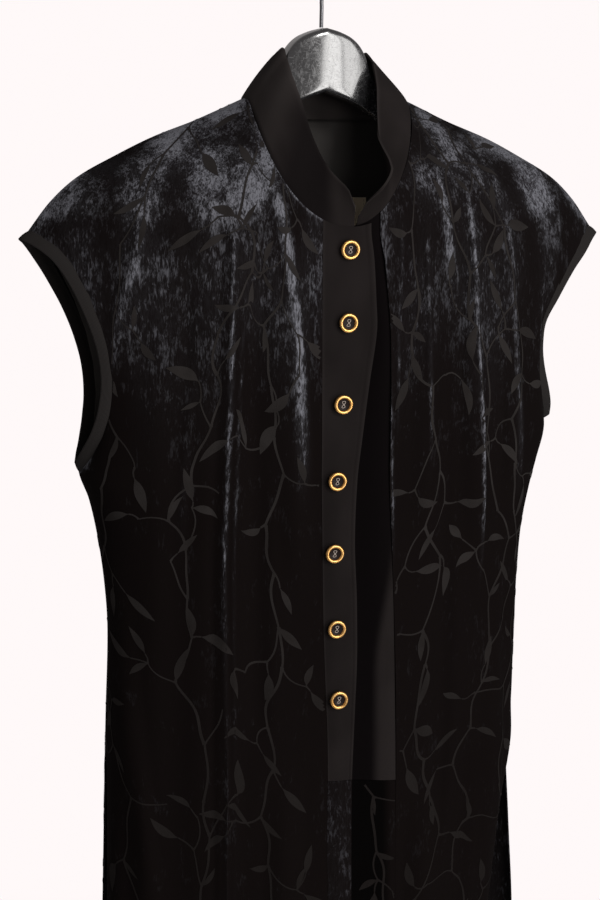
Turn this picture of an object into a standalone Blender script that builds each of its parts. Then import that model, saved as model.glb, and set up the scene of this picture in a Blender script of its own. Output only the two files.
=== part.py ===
"""A long sleeveless velvet vest, buttoned, hanging on a hanger.

Units are metres and +Z is up. The origin is the bearing point under the top of the hanger's hook. The vest
faces -Y. Sides are the wearer's own, so the right front lies at -X and the left front at +X.

Every panel is one wall of cloth on a grid. A grid's columns run from its inner edge (0) to its outer edge
(1), and its rows from the shoulder (0) past the underarm (1) to the hem (2). "drop" is the distance below
the neck point of the shoulder, "out" the distance from the vest's middle plane, both along the body.
"""

import math
from collections import namedtuple

import bmesh
import bpy
from mathutils import Vector

# ---------------------------------------------------------------- driving dimensions

NECK_Z = -0.150  # neck point of the shoulder, below the hook's bearing point
HEM_DROP = 1.100  # whole length of the vest from the neck point
UNDERARM_DROP = 0.343  # on the right; the left one sits higher, as its table says
BAND_END_DROP = 0.641  # where the crepe bands end and the velvet runs on to the front edge
UNDERLAP_LONGER = 0.007  # how much lower the left band ends

VELVET = 0.0022  # wall of the velvet panels
CREPE = 0.0020
LINING = 0.0012
SEAM = 0.0003  # gap between neighbouring pieces

NECK_HALF = 0.078  # the neck's half width, and the neckline's drops at the front and at the back
NECK_FRONT_DROP = 0.110
NECK_BACK_DROP = 0.016
NECK_POWER = 0.5  # the neckline's curve; the left front's runs closer to the neck point
NECK_POWER_LEFT_FRONT = 0.87
SHOULDER_POWER = 1.6  # how square the shoulder turns over to the front and the back
SECTION_YOKE = (3.6, 1.0)  # how full and square the section is above the underarm, and below it
SECTION_BODY = (2.7, 2.2)
SECTION_TURN = (0.55, 0.5)  # row where the one starts to turn into the other, and over how many rows
SIDE_BLEND = 0.25  # rows below the underarm over which the left side's rows come level with the right's

RIGHT = -1
LEFT = 1
FRONT = -1
BACK = 1

# ---------------------------------------------------------------- tables of sections

# The shoulder line, seen from the front, and the heights over which it turns over to the front and the back.
# Its first rows, inside the neck, only lead the surface smoothly up to the neckline.
Shoulder = namedtuple("Shoulder", "out drop front_round back_round")
SHOULDER = (
    Shoulder(0.025, -0.0120, 0.120, 0.040),
    Shoulder(0.055, -0.0080, 0.120, 0.034),
    Shoulder(0.078, 0.0000, 0.120, 0.029),
    Shoulder(0.120, 0.0185, 0.120, 0.042),
    Shoulder(0.163, 0.0350, 0.122, 0.072),
    Shoulder(0.198, 0.0520, 0.122, 0.095),
    Shoulder(0.233, 0.0715, 0.120, 0.108),
    Shoulder(0.257, 0.0930, 0.115, 0.110),
    Shoulder(0.277, 0.1190, 0.110, 0.110),
)

# The armhole's seam from the shoulder tip down to the underarm: how far out it lies on the front and on the
# back, how far it stands off the middle plane there, and how much its binding leans into the armhole.
Armhole = namedtuple("Armhole", "drop front_out front_off back_out back_off front_lean back_lean")
ARMHOLE = (
    Armhole(0.119, 0.2770, 0.0000, 0.2770, 0.0000, 0.75, 0.75),
    Armhole(0.126, 0.2640, 0.0130, 0.2705, 0.0120, 0.55, 0.55),
    Armhole(0.139, 0.2490, 0.0240, 0.2610, 0.0220, 0.45, 0.45),
    Armhole(0.160, 0.2355, 0.0330, 0.2475, 0.0320, 0.40, 0.40),
    Armhole(0.190, 0.2225, 0.0400, 0.2315, 0.0400, 0.35, 0.35),
    Armhole(0.220, 0.2130, 0.0425, 0.2200, 0.0430, 0.32, 0.32),
    Armhole(0.250, 0.2090, 0.0420, 0.2130, 0.0430, 0.32, 0.32),
    Armhole(0.278, 0.2110, 0.0385, 0.2115, 0.0400, 0.35, 0.35),
    Armhole(0.303, 0.2165, 0.0300, 0.2155, 0.0325, 0.50, 0.50),
    Armhole(0.324, 0.2245, 0.0180, 0.2225, 0.0205, 0.90, 0.90),
    Armhole(0.337, 0.2305, 0.0075, 0.2295, 0.0085, 1.60, 1.60),
    Armhole(0.343, 0.2330, 0.0000, 0.2330, 0.0000, 2.20, 2.20),
)
ARMHOLE_LEFT = (
    Armhole(0.1190, 0.2770, 0.0000, 0.2770, 0.0000, 0.75, 0.75),
    Armhole(0.1250, 0.2700, 0.0075, 0.2735, 0.0070, 0.90, 0.55),
    Armhole(0.1360, 0.2610, 0.0145, 0.2675, 0.0135, 1.00, 0.45),
    Armhole(0.1540, 0.2445, 0.0255, 0.2545, 0.0245, 1.10, 0.40),
    Armhole(0.1800, 0.2262, 0.0370, 0.2350, 0.0360, 1.15, 0.35),
    Armhole(0.2060, 0.2130, 0.0420, 0.2200, 0.0415, 1.15, 0.32),
    Armhole(0.2320, 0.2097, 0.0428, 0.2140, 0.0430, 1.10, 0.32),
    Armhole(0.2560, 0.2120, 0.0395, 0.2135, 0.0405, 0.90, 0.35),
    Armhole(0.2775, 0.2190, 0.0320, 0.2180, 0.0340, 0.70, 0.50),
    Armhole(0.2955, 0.2268, 0.0195, 0.2250, 0.0215, 0.50, 0.50),
    Armhole(0.3070, 0.2312, 0.0080, 0.2305, 0.0090, 0.40, 0.40),
    Armhole(0.3120, 0.2335, 0.0000, 0.2335, 0.0000, 0.40, 0.40),
)
ARMHOLES = {RIGHT: ARMHOLE, LEFT: ARMHOLE_LEFT}

# The side seams below the underarm, and how deep the body is at its middle.
Side = namedtuple("Side", "drop right left front_depth back_depth")
SIDES = (
    Side(0.000, 0.2330, 0.2335, 0.0830, 0.056),
    Side(0.312, 0.2330, 0.2335, 0.0830, 0.058),
    Side(0.343, 0.2330, 0.2265, 0.0830, 0.058),
    Side(0.370, 0.2235, 0.2200, 0.0830, 0.058),
    Side(0.410, 0.2150, 0.2130, 0.0830, 0.058),
    Side(0.455, 0.2090, 0.2105, 0.0830, 0.057),
    Side(0.500, 0.2065, 0.2105, 0.0825, 0.056),
    Side(0.580, 0.2090, 0.2115, 0.0820, 0.055),
    Side(0.640, 0.2105, 0.2120, 0.0815, 0.054),
    Side(0.745, 0.2125, 0.2210, 0.0800, 0.052),
    Side(0.850, 0.2150, 0.2300, 0.0785, 0.050),
    Side(1.100, 0.2230, 0.2400, 0.0760, 0.048),
)

# The fronts' side edges below the slit tops: the left one has fallen inwards, the right one is nearly shut.
Slit = namedtuple("Slit", "drop right_in right_off left_in left_off")
SLITS = (
    Slit(0.600, 0.0000, 0.0000, 0.0000, 0.0000),
    Slit(0.640, 0.0005, 0.0050, 0.0015, 0.0080),
    Slit(0.700, 0.0010, 0.0085, 0.0180, 0.0190),
    Slit(0.790, 0.0020, 0.0110, 0.0380, 0.0260),
    Slit(0.900, 0.0030, 0.0130, 0.0560, 0.0310),
    Slit(1.100, 0.0050, 0.0160, 0.0700, 0.0350),
)

# The front edges: the right front's seam, its band's free edge and the left front's seam, as X.
Opening = namedtuple("Opening", "drop right_seam free_edge left_seam")
OPENING = (
    Opening(0.000, -0.0270, 0.0190, 0.0280),
    Opening(0.115, -0.0270, 0.0190, 0.0280),
    Opening(0.140, -0.0265, 0.0220, 0.0325),
    Opening(0.176, -0.0260, 0.0250, 0.0375),
    Opening(0.204, -0.0255, 0.0265, 0.0405),
    Opening(0.250, -0.0245, 0.0210, 0.0425),
    Opening(0.306, -0.0235, 0.0150, 0.0435),
    Opening(0.343, -0.0230, 0.0115, 0.0440),
    Opening(0.401, -0.0210, 0.0105, 0.0480),
    Opening(0.460, -0.0190, 0.0140, 0.0520),
    Opening(0.519, -0.0160, 0.0160, 0.0555),
    Opening(0.590, -0.0115, 0.0150, 0.0590),
    Opening(0.641, -0.0095, 0.0145, 0.0610),
    Opening(0.714, -0.0085, 0.0160, 0.0635),
    Opening(0.790, -0.0050, 0.0185, 0.0665),
    Opening(1.100, 0.0040, 0.0300, 0.0760),
)

# The largest folds: a line on the panel from its top to its foot, how wide the fold is on either side of
# that line, and how far it stands out (or sinks in, where that is negative).
Fold = namedtuple("Fold", "face x_top drop_top x_foot drop_foot spread height")
FOLDS = (
    Fold(FRONT, -0.108, 0.090, -0.112, 1.080, 0.022, 0.0045),
    Fold(FRONT, -0.066, 0.090, -0.040, 0.480, 0.022, 0.0050),
    Fold(FRONT, -0.090, 0.100, -0.078, 0.640, 0.018, -0.0040),
    Fold(FRONT, -0.184, 0.080, -0.206, 0.300, 0.020, 0.0040),
    Fold(FRONT, -0.150, 0.110, -0.156, 0.900, 0.026, -0.0045),
    Fold(FRONT, -0.212, 0.400, -0.176, 0.800, 0.018, 0.0060),
    Fold(FRONT, -0.196, 0.560, -0.198, 1.080, 0.014, -0.0040),
    Fold(FRONT, -0.052, 0.600, -0.048, 1.090, 0.024, 0.0060),
    Fold(FRONT, 0.118, 0.070, 0.147, 0.480, 0.018, 0.0050),
    Fold(FRONT, 0.144, 0.050, 0.190, 0.420, 0.018, 0.0045),
    Fold(FRONT, 0.076, 0.120, 0.084, 0.420, 0.020, 0.0040),
    Fold(FRONT, 0.098, 0.100, 0.112, 0.760, 0.018, -0.0045),
    Fold(FRONT, 0.203, 0.100, 0.208, 0.260, 0.012, 0.0025),
    Fold(FRONT, 0.172, 0.480, 0.178, 1.080, 0.020, 0.0060),
    Fold(FRONT, 0.140, 0.560, 0.130, 1.080, 0.022, -0.0055),
    Fold(FRONT, 0.092, 0.640, 0.098, 1.090, 0.024, 0.0060),
    Fold(BACK, -0.060, 0.160, -0.074, 1.080, 0.030, 0.0055),
    Fold(BACK, -0.132, 0.090, -0.140, 0.760, 0.026, 0.0050),
    Fold(BACK, -0.100, 0.120, -0.108, 1.080, 0.022, -0.0050),
    Fold(BACK, -0.168, 0.420, -0.172, 1.080, 0.020, 0.0060),
    Fold(BACK, -0.010, 0.320, 0.004, 1.080, 0.030, -0.0050),
    Fold(BACK, 0.052, 0.200, 0.060, 0.820, 0.026, 0.0050),
    Fold(BACK, 0.098, 0.070, 0.116, 1.080, 0.024, -0.0045),
    Fold(BACK, 0.146, 0.080, 0.158, 1.080, 0.026, 0.0055),
    Fold(BACK, 0.190, 0.520, 0.198, 1.080, 0.018, -0.0040),
)
FOLD_FADE = 0.10  # length over which a fold dies away at each end

# The stand collar, by its place round the neck (0 and 360 at the front, 180 at the back): its height, and
# how far its top leans in towards the neck. It has sunk inwards, and turns out at its left front end.
Stand = namedtuple("Stand", "angle height lean")
STANDS = (
    Stand(0, 0.018, 0.002),
    Stand(4, 0.0325, 0.009),
    Stand(9, 0.0400, 0.018),
    Stand(19, 0.048, 0.029),
    Stand(31, 0.056, 0.040),
    Stand(45, 0.059, 0.045),
    Stand(61, 0.053, 0.040),
    Stand(75, 0.047, 0.037),
    Stand(79, 0.049, 0.036),
    Stand(84, 0.048, 0.034),
    Stand(90, 0.0425, 0.031),
    Stand(101, 0.0405, 0.030),
    Stand(130, 0.046, 0.028),
    Stand(180, 0.056, 0.022),
    Stand(230, 0.048, 0.028),
    Stand(245, 0.049, 0.030),
    Stand(254, 0.044, 0.031),
    Stand(262, 0.039, 0.031),
    Stand(271, 0.035, 0.031),
    Stand(292, 0.045, 0.036),
    Stand(312, 0.0483, 0.0340),
    Stand(322, 0.0478, 0.0315),
    Stand(330, 0.0450, 0.0245),
    Stand(335, 0.0420, 0.0120),
    Stand(340, 0.0390, -0.0045),
    Stand(345, 0.0357, -0.0180),
    Stand(350, 0.0295, -0.0200),
    Stand(354, 0.0235, -0.0145),
    Stand(357, 0.0175, -0.0085),
    Stand(360, 0.008, -0.002),
)

# ---------------------------------------------------------------- pieces' own sizes

BINDING_WIDTH = 0.011
BINDING_WALL = 0.0030

BAND_BULGE = 0.0022  # the button band crowns forward from its seam on
BAND_CROWN = 0.6  # share of its width over which it does
BAND_BULGE_OVER = 0.02  # height over which that grows, below the collar
UNDERLAP = 0.030  # the left band runs on this far behind the right band's free edge
UNDERLAP_SINK = 0.011  # and lies this far behind the fronts there
UNDERLAP_SINK_TOP = 0.0035  # but only this far at the collar
UNDERLAP_SINK_OVER = 0.12  # height over which that grows
UNDERLAP_SINK_BY = 0.6  # share of its width by which it lies there
UNDERLAP_TUCK = 0.0015  # step back from the velvet's edge to the left band

COLLAR_ENDS = (0.003, 0.007)  # X of its right and its left end at the front
COLLAR_MEET_X = 0.005
COLLAR_LEVELS = (0.0, 0.3, 0.65, 1.0)
COLLAR_CURVE = 1.2  # how far its lean is left to its upper part

BUTTON_DROPS = (0.130, 0.196, 0.271, 0.343, 0.412, 0.486, 0.557)
BUTTON_X = (-0.002, -0.002, -0.005, -0.009, -0.010, -0.006, -0.002)
BUTTON_R = 0.0090
BUTTON_BORE = 0.0056  # inside of the gold rim
BUTTON_HIGH = 0.0042
BUTTON_CENTRE_HIGH = 0.0026
BUTTON_SIDES = 20

LINING_SKIRT_ROWS = 5  # rows of the back's grid that the lining covers below the underarm
LABEL_SIZE = (0.090, 0.045)
LABEL_WALL = 0.0008
LABEL_MIDDLE = (0.016, 0.117)  # X and drop of its middle

HANGER_X = -0.0030  # the hanger's middle and its rod stand a little to the right
ROD_X = -0.0055
# The hanger: sections from its middle out along an arm, by their place, top, height and thickness.
Arm = namedtuple("Arm", "out top high thick")
HANGER = (
    Arm(0.0000, -0.0640, 0.0570, 0.0300),
    Arm(0.0130, -0.0605, 0.0580, 0.0300),
    Arm(0.0262, -0.0540, 0.0565, 0.0295),
    Arm(0.0360, -0.0430, 0.0500, 0.0285),
    Arm(0.0435, -0.0250, 0.0370, 0.0280),
    Arm(0.0530, -0.0090, 0.0285, 0.0280),
    Arm(0.0680, 0.0025, 0.0260, 0.0280),
    Arm(0.0900, 0.0130, 0.0250, 0.0280),
    Arm(0.1200, 0.0260, 0.0250, 0.0280),
    Arm(0.1500, 0.0375, 0.0250, 0.0280),
    Arm(0.1800, 0.0505, 0.0240, 0.0280),
    Arm(0.2050, 0.0655, 0.0210, 0.0250),
    Arm(0.2200, 0.0795, 0.0120, 0.0190),
)
HANGER_SIDES = 12
HOOK_WIRE = 0.0036  # diameter of the hook's wire
HOOK_R = 0.023  # inside radius of its bend
HOOK_NECK_Z = -0.060  # where the wire leaves the straight rod for the bend

# ---------------------------------------------------------------- grid density

FRONT_COLUMNS = (7, 12)  # from the inner edge to the neck point, and on to the side
BACK_COLUMNS = (5, 9)
NECK_SHARE = 0.37  # share of a panel's columns that start from the neckline
NECK_SPREAD = 0.36  # share of its width that they cover from the underarm down
UPPER_ROWS = 7  # from the underarm to the end of the crepe bands, and on to the hem
LOWER_ROWS = 10
BAND_COLUMNS = 4
SHOULDER_ROW = 0.35  # place of the extra row between the shoulder seam and the armhole's next section


# ---------------------------------------------------------------- helpers


def read(table, column, where, key="drop"):
    """A smooth curve through one column of a table, held level beyond its ends."""
    keys = [getattr(row, key) for row in table]
    values = [getattr(row, column) for row in table]
    last = len(keys) - 1
    if where <= keys[0]:
        return values[0]
    if where >= keys[last]:
        return values[last]
    i = max(n for n in range(last) if keys[n] <= where)

    def slope(n):
        low, high = max(n - 1, 0), min(n + 1, last)
        return (values[high] - values[low]) / (keys[high] - keys[low])

    span = keys[i + 1] - keys[i]
    t = (where - keys[i]) / span
    rise = values[i + 1] - values[i]
    a = slope(i) * span - rise
    b = rise - slope(i + 1) * span
    return values[i] + rise * t + t * (1 - t) * (a * (1 - t) + b * t)


def mix(a, b, t):
    return a + (b - a) * t


def step(t):
    """0 to 1, easing in and out."""
    t = min(max(t, 0.0), 1.0)
    return t * t * (3 - 2 * t)


def material(name, colour, roughness, metallic=0.0):
    made = bpy.data.materials.new(name)
    made.use_nodes = True
    shader = made.node_tree.nodes["Principled BSDF"]
    shader.inputs["Base Color"].default_value = (*colour, 1.0)
    shader.inputs["Roughness"].default_value = roughness
    shader.inputs["Metallic"].default_value = metallic
    made.diffuse_color = (*colour, 1.0)
    return made


def add_object(name, mesh_maker, made_of):
    """Turn a filled bmesh into a named object with its faces pointing out."""
    bmesh.ops.recalc_face_normals(mesh_maker, faces=mesh_maker.faces)
    mesh = bpy.data.meshes.new(name)
    mesh_maker.to_mesh(mesh)
    mesh_maker.free()
    mesh.shade_smooth()
    mesh.set_sharp_from_angle(angle=math.radians(40))
    mesh.materials.append(made_of)
    obj = bpy.data.objects.new(name, mesh)
    bpy.context.scene.collection.objects.link(obj)
    obj.parent = ROOT
    return obj


def wall(name, outside, inside, made_of, ring=False):
    """A closed wall between two grids of points; a ring's last row joins its first."""
    made = bmesh.new()
    rows, columns = len(outside), len(outside[0])
    skins = [[[made.verts.new(p) for p in row] for row in grid] for grid in (outside, inside)]
    row_pairs = [(i, (i + 1) % rows) for i in range(rows if ring else rows - 1)]
    for skin in skins:
        for i, j in row_pairs:
            for c in range(columns - 1):
                made.faces.new((skin[i][c], skin[i][c + 1], skin[j][c + 1], skin[j][c]))
    outer, inner = skins
    for c in (0, columns - 1):
        for i, j in row_pairs:
            made.faces.new((outer[i][c], outer[j][c], inner[j][c], inner[i][c]))
    if not ring:
        for i in (0, rows - 1):
            for c in range(columns - 1):
                made.faces.new((outer[i][c], outer[i][c + 1], inner[i][c + 1], inner[i][c]))
    return add_object(name, made, made_of)


# ---------------------------------------------------------------- the body's surface


def top_of(side, face, out):
    """Drop of the neckline or, beyond the neck, of the shoulder seam."""
    if out >= NECK_HALF:
        return read(SHOULDER, "drop", out, "out")
    deepest = NECK_FRONT_DROP if face == FRONT else NECK_BACK_DROP
    power = NECK_POWER_LEFT_FRONT if face == FRONT and side == LEFT else NECK_POWER
    return deepest * (1 - (out / NECK_HALF) ** 2) ** power


def inner_edge(side, face, drop):
    """How far out a panel's inner edge lies: the band seams in front, the middle at the back."""
    if face == BACK:
        return 0.0
    return side * read(OPENING, "right_seam" if side == RIGHT else "left_seam", drop)


def outer_edge(side, face, row):
    """(out, distance off the middle plane, drop) of a panel's outer edge, at a row from 0 to 2."""
    table = ARMHOLES[side]
    if row <= 1:
        place = row * (len(table) - 1)
        low = min(int(place), len(table) - 2)
        a, b, t = table[low], table[low + 1], place - low
        out, off = ("front_out", "front_off") if face == FRONT else ("back_out", "back_off")
        return (
            mix(getattr(a, out), getattr(b, out), t),
            mix(getattr(a, off), getattr(b, off), t),
            mix(a.drop, b.drop, t),
        )
    lift = (table[-1].drop - UNDERARM_DROP) * (1 - step((row - 1) / SIDE_BLEND))
    drop = mix(UNDERARM_DROP, HEM_DROP, row - 1) + lift
    name = "right" if side == RIGHT else "left"
    out, off = read(SIDES, name, drop), 0.0
    if face == FRONT:
        out -= read(SLITS, name + "_in", drop)
        off = read(SLITS, name + "_off", drop)
    return out, off, drop


def fold_height(face, x, drop):
    """How far the folds lift the cloth at one place."""
    total = 0.0
    for fold in FOLDS:
        if fold.face != face or not fold.drop_top < drop < fold.drop_foot + FOLD_FADE:
            continue
        along = (drop - fold.drop_top) / (fold.drop_foot - fold.drop_top)
        across = (x - mix(fold.x_top, fold.x_foot, along)) / fold.spread
        if abs(across) >= 1:
            continue
        fade_in = step((drop - fold.drop_top) / FOLD_FADE)
        fade_out = 1.0
        if fold.drop_foot < HEM_DROP - 2 * FOLD_FADE:
            fade_out = 1 - step((drop - fold.drop_foot + FOLD_FADE) / FOLD_FADE)
        total += fold.height * fade_in * fade_out * math.cos(math.pi / 2 * across) ** 2
    return total


def middle_off(face, top_out, drop):
    """How far the cloth stands off the middle plane, below the place top_out on its top edge."""
    ridge = read(SHOULDER, "drop", top_out, "out")
    height = read(SHOULDER, "front_round" if face == FRONT else "back_round", top_out, "out")
    t = min(max((drop - ridge) / height, 0.0), 1.0)
    rounding = (1 - (1 - t) ** SHOULDER_POWER) ** (1 / SHOULDER_POWER)
    return rounding * read(SIDES, "front_depth" if face == FRONT else "back_depth", drop)


def row_drop(top_drop, row):
    """The drop of a row 0..2 in a column whose top edge has the given drop."""
    if row > 1:
        return mix(UNDERARM_DROP, HEM_DROP, row - 1)
    edge_drop = outer_edge(RIGHT, FRONT, row)[2]
    fallen = (edge_drop - ARMHOLE[0].drop) / (UNDERARM_DROP - ARMHOLE[0].drop)
    return mix(top_drop, UNDERARM_DROP, fallen)


def column_place(side, face, column, row):
    """Where a column 0..1 stands between its panel's edges: close together at the neck, spread out below."""
    inner, outer = inner_edge(side, face, 0.0), ARMHOLE[0].front_out
    neck_top = (NECK_HALF - inner) / (outer - inner)
    if column < NECK_SHARE:
        along = column / NECK_SHARE
        turn = math.pi / 2 * (1 - (1 - along) ** 1.5)
        return mix(neck_top * math.sin(turn), NECK_SPREAD * along, step(row))
    along = math.sin(math.pi / 2 * (column - NECK_SHARE) / (1 - NECK_SHARE))
    return mix(mix(neck_top, 1.0, along), mix(NECK_SPREAD, 1.0, along), step(row))


def body_point(side, face, column, row):
    """A point of the body's outer surface, on the panel's side, at a column 0..1 and a row 0..2."""
    out_edge, off_edge, edge_drop = outer_edge(side, face, row)
    inner_top, outer_top = inner_edge(side, face, 0.0), ARMHOLE[0].front_out
    top_out = mix(inner_top, outer_top, column_place(side, face, column, 0))
    # Each column hangs straight down, and follows its nearer edge in or out.
    place = column_place(side, face, column, row)
    drop = row_drop(top_of(side, face, top_out), row)
    drop += (edge_drop - outer_edge(RIGHT, face, row)[2]) * place**2
    out = mix(inner_top, outer_top, place) + (out_edge - outer_top) * place**2
    out += (inner_edge(side, face, drop) - inner_top) * (1 - place) ** 2
    # The section is full and square over the armhole's rows, and turns round to the side seam below them.
    turn = step((row - SECTION_TURN[0]) / SECTION_TURN[1])
    share = min(max(out / out_edge, 0.0), 1.0)
    squareness, power = (mix(a, b, turn) for a, b in zip(SECTION_YOKE, SECTION_BODY))
    fullness = (1 - share**squareness) ** (1 / power)
    ridge_out = min(out, outer_top)
    off = mix(off_edge, middle_off(face, ridge_out, drop), fullness)
    off += fold_height(face, side * out, drop) * fullness**0.5
    return Vector((side * out, face * (off + SEAM / 2), NECK_Z - drop))


def columns(neck_count, body_count):
    """Columns of a panel, from its inner edge to the neck point and on to its outer edge."""
    near = [NECK_SHARE * i / neck_count for i in range(neck_count)]
    return near + [mix(NECK_SHARE, 1.0, i / body_count) for i in range(body_count + 1)]


def body_rows():
    """A row for each section of the armhole, one more where the shoulder turns over, and the skirt's rows."""
    yoke = [i / (len(ARMHOLE) - 1) for i in range(len(ARMHOLE))]
    yoke.insert(1, yoke[1] * SHOULDER_ROW)
    upper = [mix(1.0, band_end_row(), (i + 1) / UPPER_ROWS) for i in range(UPPER_ROWS)]
    lower = [mix(band_end_row(), 2.0, (i + 1) / LOWER_ROWS) for i in range(LOWER_ROWS)]
    return yoke + upper + lower


def band_end_row():
    return 1 + (BAND_END_DROP - UNDERARM_DROP) / (HEM_DROP - UNDERARM_DROP)


def body_normal(side, face, column, row):
    """Outward direction of the body's surface; it stays in the plane of a shoulder or side seam."""
    d = 0.004
    lo_c, hi_c = max(column - d, 0.0), min(column + d, 1.0)
    lo_r, hi_r = max(row - d, 0.0), min(row + d, 2.0)
    across = body_point(side, face, hi_c, row) - body_point(side, face, lo_c, row)
    down = body_point(side, face, column, hi_r) - body_point(side, face, column, lo_r)
    normal = across.cross(down).normalized()
    if normal.y * face < 0:
        normal.negate()
    on_shoulder = row == 0 and body_point(side, face, column, row).y * face <= SEAM
    on_side_seam = column == 1 and row >= 1
    if on_side_seam or on_shoulder:
        normal.y = 0.0
        normal.normalize()
    return normal


def panel_grids(cells, depth_out, depth_in):
    """Two grids moved in from the body's surface by the two depths; cells hold (side, face, column, row)."""
    outside, inside = [], []
    for line in cells:
        spots = [(body_point(*cell), body_normal(*cell)) for cell in line]
        outside.append([p - n * depth_out for p, n in spots])
        inside.append([p - n * depth_in for p, n in spots])
    return outside, inside


# ---------------------------------------------------------------- the pieces


def make_front(name, side, velvet):
    cells = [[(side, FRONT, c, r) for c in columns(*FRONT_COLUMNS)] for r in body_rows()]
    return wall(name, *panel_grids(cells, 0.0, VELVET), velvet)


def back_line(row, places):
    """One row of cells right across the back, from the right side seam to the left."""
    right = [(RIGHT, BACK, c, row) for c in reversed(places[1:])]
    return right + [(LEFT, BACK, c, row) for c in places]


def make_back(velvet):
    cells = [back_line(r, columns(*BACK_COLUMNS)) for r in body_rows()]
    return wall("back", *panel_grids(cells, 0.0, VELVET), velvet)


def make_lining(crepe):
    """The back's lining, on the back's own grid, which it leaves at the hip."""
    rows = body_rows()[: len(ARMHOLE) + 1 + LINING_SKIRT_ROWS]
    cells = [back_line(r, columns(*BACK_COLUMNS)[:-1]) for r in rows]
    depth = VELVET + SEAM
    return wall("back_lining", *panel_grids(cells, depth, depth + LINING), crepe)


def halved(low, high, is_short):
    """The place between two bounds at which is_short stops being true."""
    for _ in range(24):
        middle = (low + high) / 2
        if is_short(middle):
            low = middle
        else:
            high = middle
    return high


def back_place(x, drop):
    """The back's cell at an X and a drop."""
    side = RIGHT if x < 0 else LEFT
    column = 0.2
    for _ in range(6):
        row = halved(0, 2, lambda r: NECK_Z - body_point(side, BACK, column, r).z < drop)
        column = halved(0, 1, lambda c: side * body_point(side, BACK, c, row).x < abs(x))
    return side, BACK, column, row


def make_label(tape):
    """A bare strip of tape sewn flat on the lining, under the neck seam."""
    across, down = 6, 3
    depth = VELVET + SEAM + LINING + SEAM
    cells = []
    for j in range(down + 1):
        drop = LABEL_MIDDLE[1] + LABEL_SIZE[1] * (j / down - 0.5)
        xs = [LABEL_MIDDLE[0] + LABEL_SIZE[0] * (i / across - 0.5) for i in range(across + 1)]
        cells.append([back_place(x, drop) for x in xs])
    return wall("label", *panel_grids(cells, depth, depth + LABEL_WALL), tape)


def band_point(row, t):
    """The right band's outer surface, from the right front's seam (0) to its free edge (1)."""
    top_x = mix(OPENING[0].right_seam, OPENING[0].free_edge, t)
    drop = row_drop(top_of(RIGHT, FRONT, abs(top_x)), row)
    seam_x = read(OPENING, "right_seam", drop) + SEAM
    free_x = read(OPENING, "free_edge", drop)
    x = mix(seam_x, free_x, t)
    crown = BAND_BULGE * math.sin(math.pi / 2 * min(t / BAND_CROWN, 1.0))
    off = middle_off(FRONT, abs(top_x), drop) + crown * step((drop - NECK_FRONT_DROP) / BAND_BULGE_OVER)
    off += fold_height(FRONT, seam_x, drop) * (1 - t)
    return Vector((x, -off, NECK_Z - drop))


def underlap_point(row, t):
    """The left band's outer surface, from the left front's seam (0) back under the right band (1)."""
    top_x = mix(OPENING[0].left_seam, OPENING[0].free_edge - UNDERLAP, t)
    drop = row_drop(top_of(LEFT, FRONT, abs(top_x)), row)
    seam_x = read(OPENING, "left_seam", drop) - SEAM
    inner_x = read(OPENING, "free_edge", drop) - UNDERLAP
    x = mix(seam_x, inner_x, t)
    sink = mix(UNDERLAP_SINK_TOP, UNDERLAP_SINK, step((drop - NECK_FRONT_DROP) / UNDERLAP_SINK_OVER))
    off = middle_off(FRONT, abs(top_x), drop) - UNDERLAP_TUCK - sink * step(t / UNDERLAP_SINK_BY)
    off += fold_height(FRONT, seam_x, drop) * (1 - t)
    return Vector((x, -off, NECK_Z - drop))


def make_band(name, point, rows, thick, made_of):
    """A band down a front edge, on the fronts' own rows."""
    inward = Vector((0.0, thick, 0.0))
    outside = [[point(row, i / BAND_COLUMNS) for i in range(BAND_COLUMNS + 1)] for row in rows]
    inside = [[p + inward for p in line] for line in outside]
    return wall(name, outside, inside, made_of)


def make_bands(crepe, velvet):
    skirt = HEM_DROP - UNDERARM_DROP
    left_end = band_end_row() + UNDERLAP_LONGER / skirt
    for name, point, end in (("right", band_point, band_end_row()), ("left", underlap_point, left_end)):
        upper = [row for row in body_rows() if row < end - SEAM] + [end]
        lower = [end + SEAM / skirt] + [row for row in body_rows() if row > end + SEAM]
        make_band(f"placket_{name}", point, upper, CREPE, crepe)
        make_band(f"placket_{name}_lower", point, lower, VELVET, velvet)


def neckline():
    """The neckline's points on the panels' own top edges, from the right band round the back to the left."""
    right_end, left_end = COLLAR_ENDS
    bands = [i / BAND_COLUMNS for i in range(1, BAND_COLUMNS + 1)]
    right_band = [p for p in (band_point(0, t) for t in reversed(bands)) if p.x < right_end]
    left_band = [p for p in (underlap_point(0, t) for t in bands) if p.x > left_end]
    near = [c for c in columns(*FRONT_COLUMNS) if c <= NECK_SHARE]
    behind = [c for c in columns(*BACK_COLUMNS) if c < NECK_SHARE]
    line = [Vector((right_end, right_band[0].y, right_band[0].z))] + right_band
    line += [body_point(RIGHT, FRONT, c, 0) for c in near]
    line += [body_point(RIGHT, BACK, c, 0) for c in reversed(behind)]
    line += [body_point(LEFT, BACK, c, 0) for c in behind[1:]]
    line += [body_point(LEFT, FRONT, c, 0) for c in reversed(near)]
    return line + left_band + [Vector((left_end, left_band[-1].y, left_band[-1].z))]


def make_collar(crepe):
    outside, inside = [], []
    for base in neckline():
        inward = Vector((-base.x, -base.y, 0.0)).normalized()
        angle = math.degrees(math.atan2(COLLAR_MEET_X - base.x, -base.y)) % 360
        height = read(STANDS, "height", angle, "angle")
        lean = read(STANDS, "lean", angle, "angle")
        line = []
        for up in COLLAR_LEVELS:
            rise = Vector((0, 0, mix(2 * SEAM, height, up)))
            line.append(base + rise + inward * (lean * up**COLLAR_CURVE + SEAM))
        outside.append(line)
        inside.append([p + inward * CREPE for p in line])
    return wall("collar", outside, inside, crepe)


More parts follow.
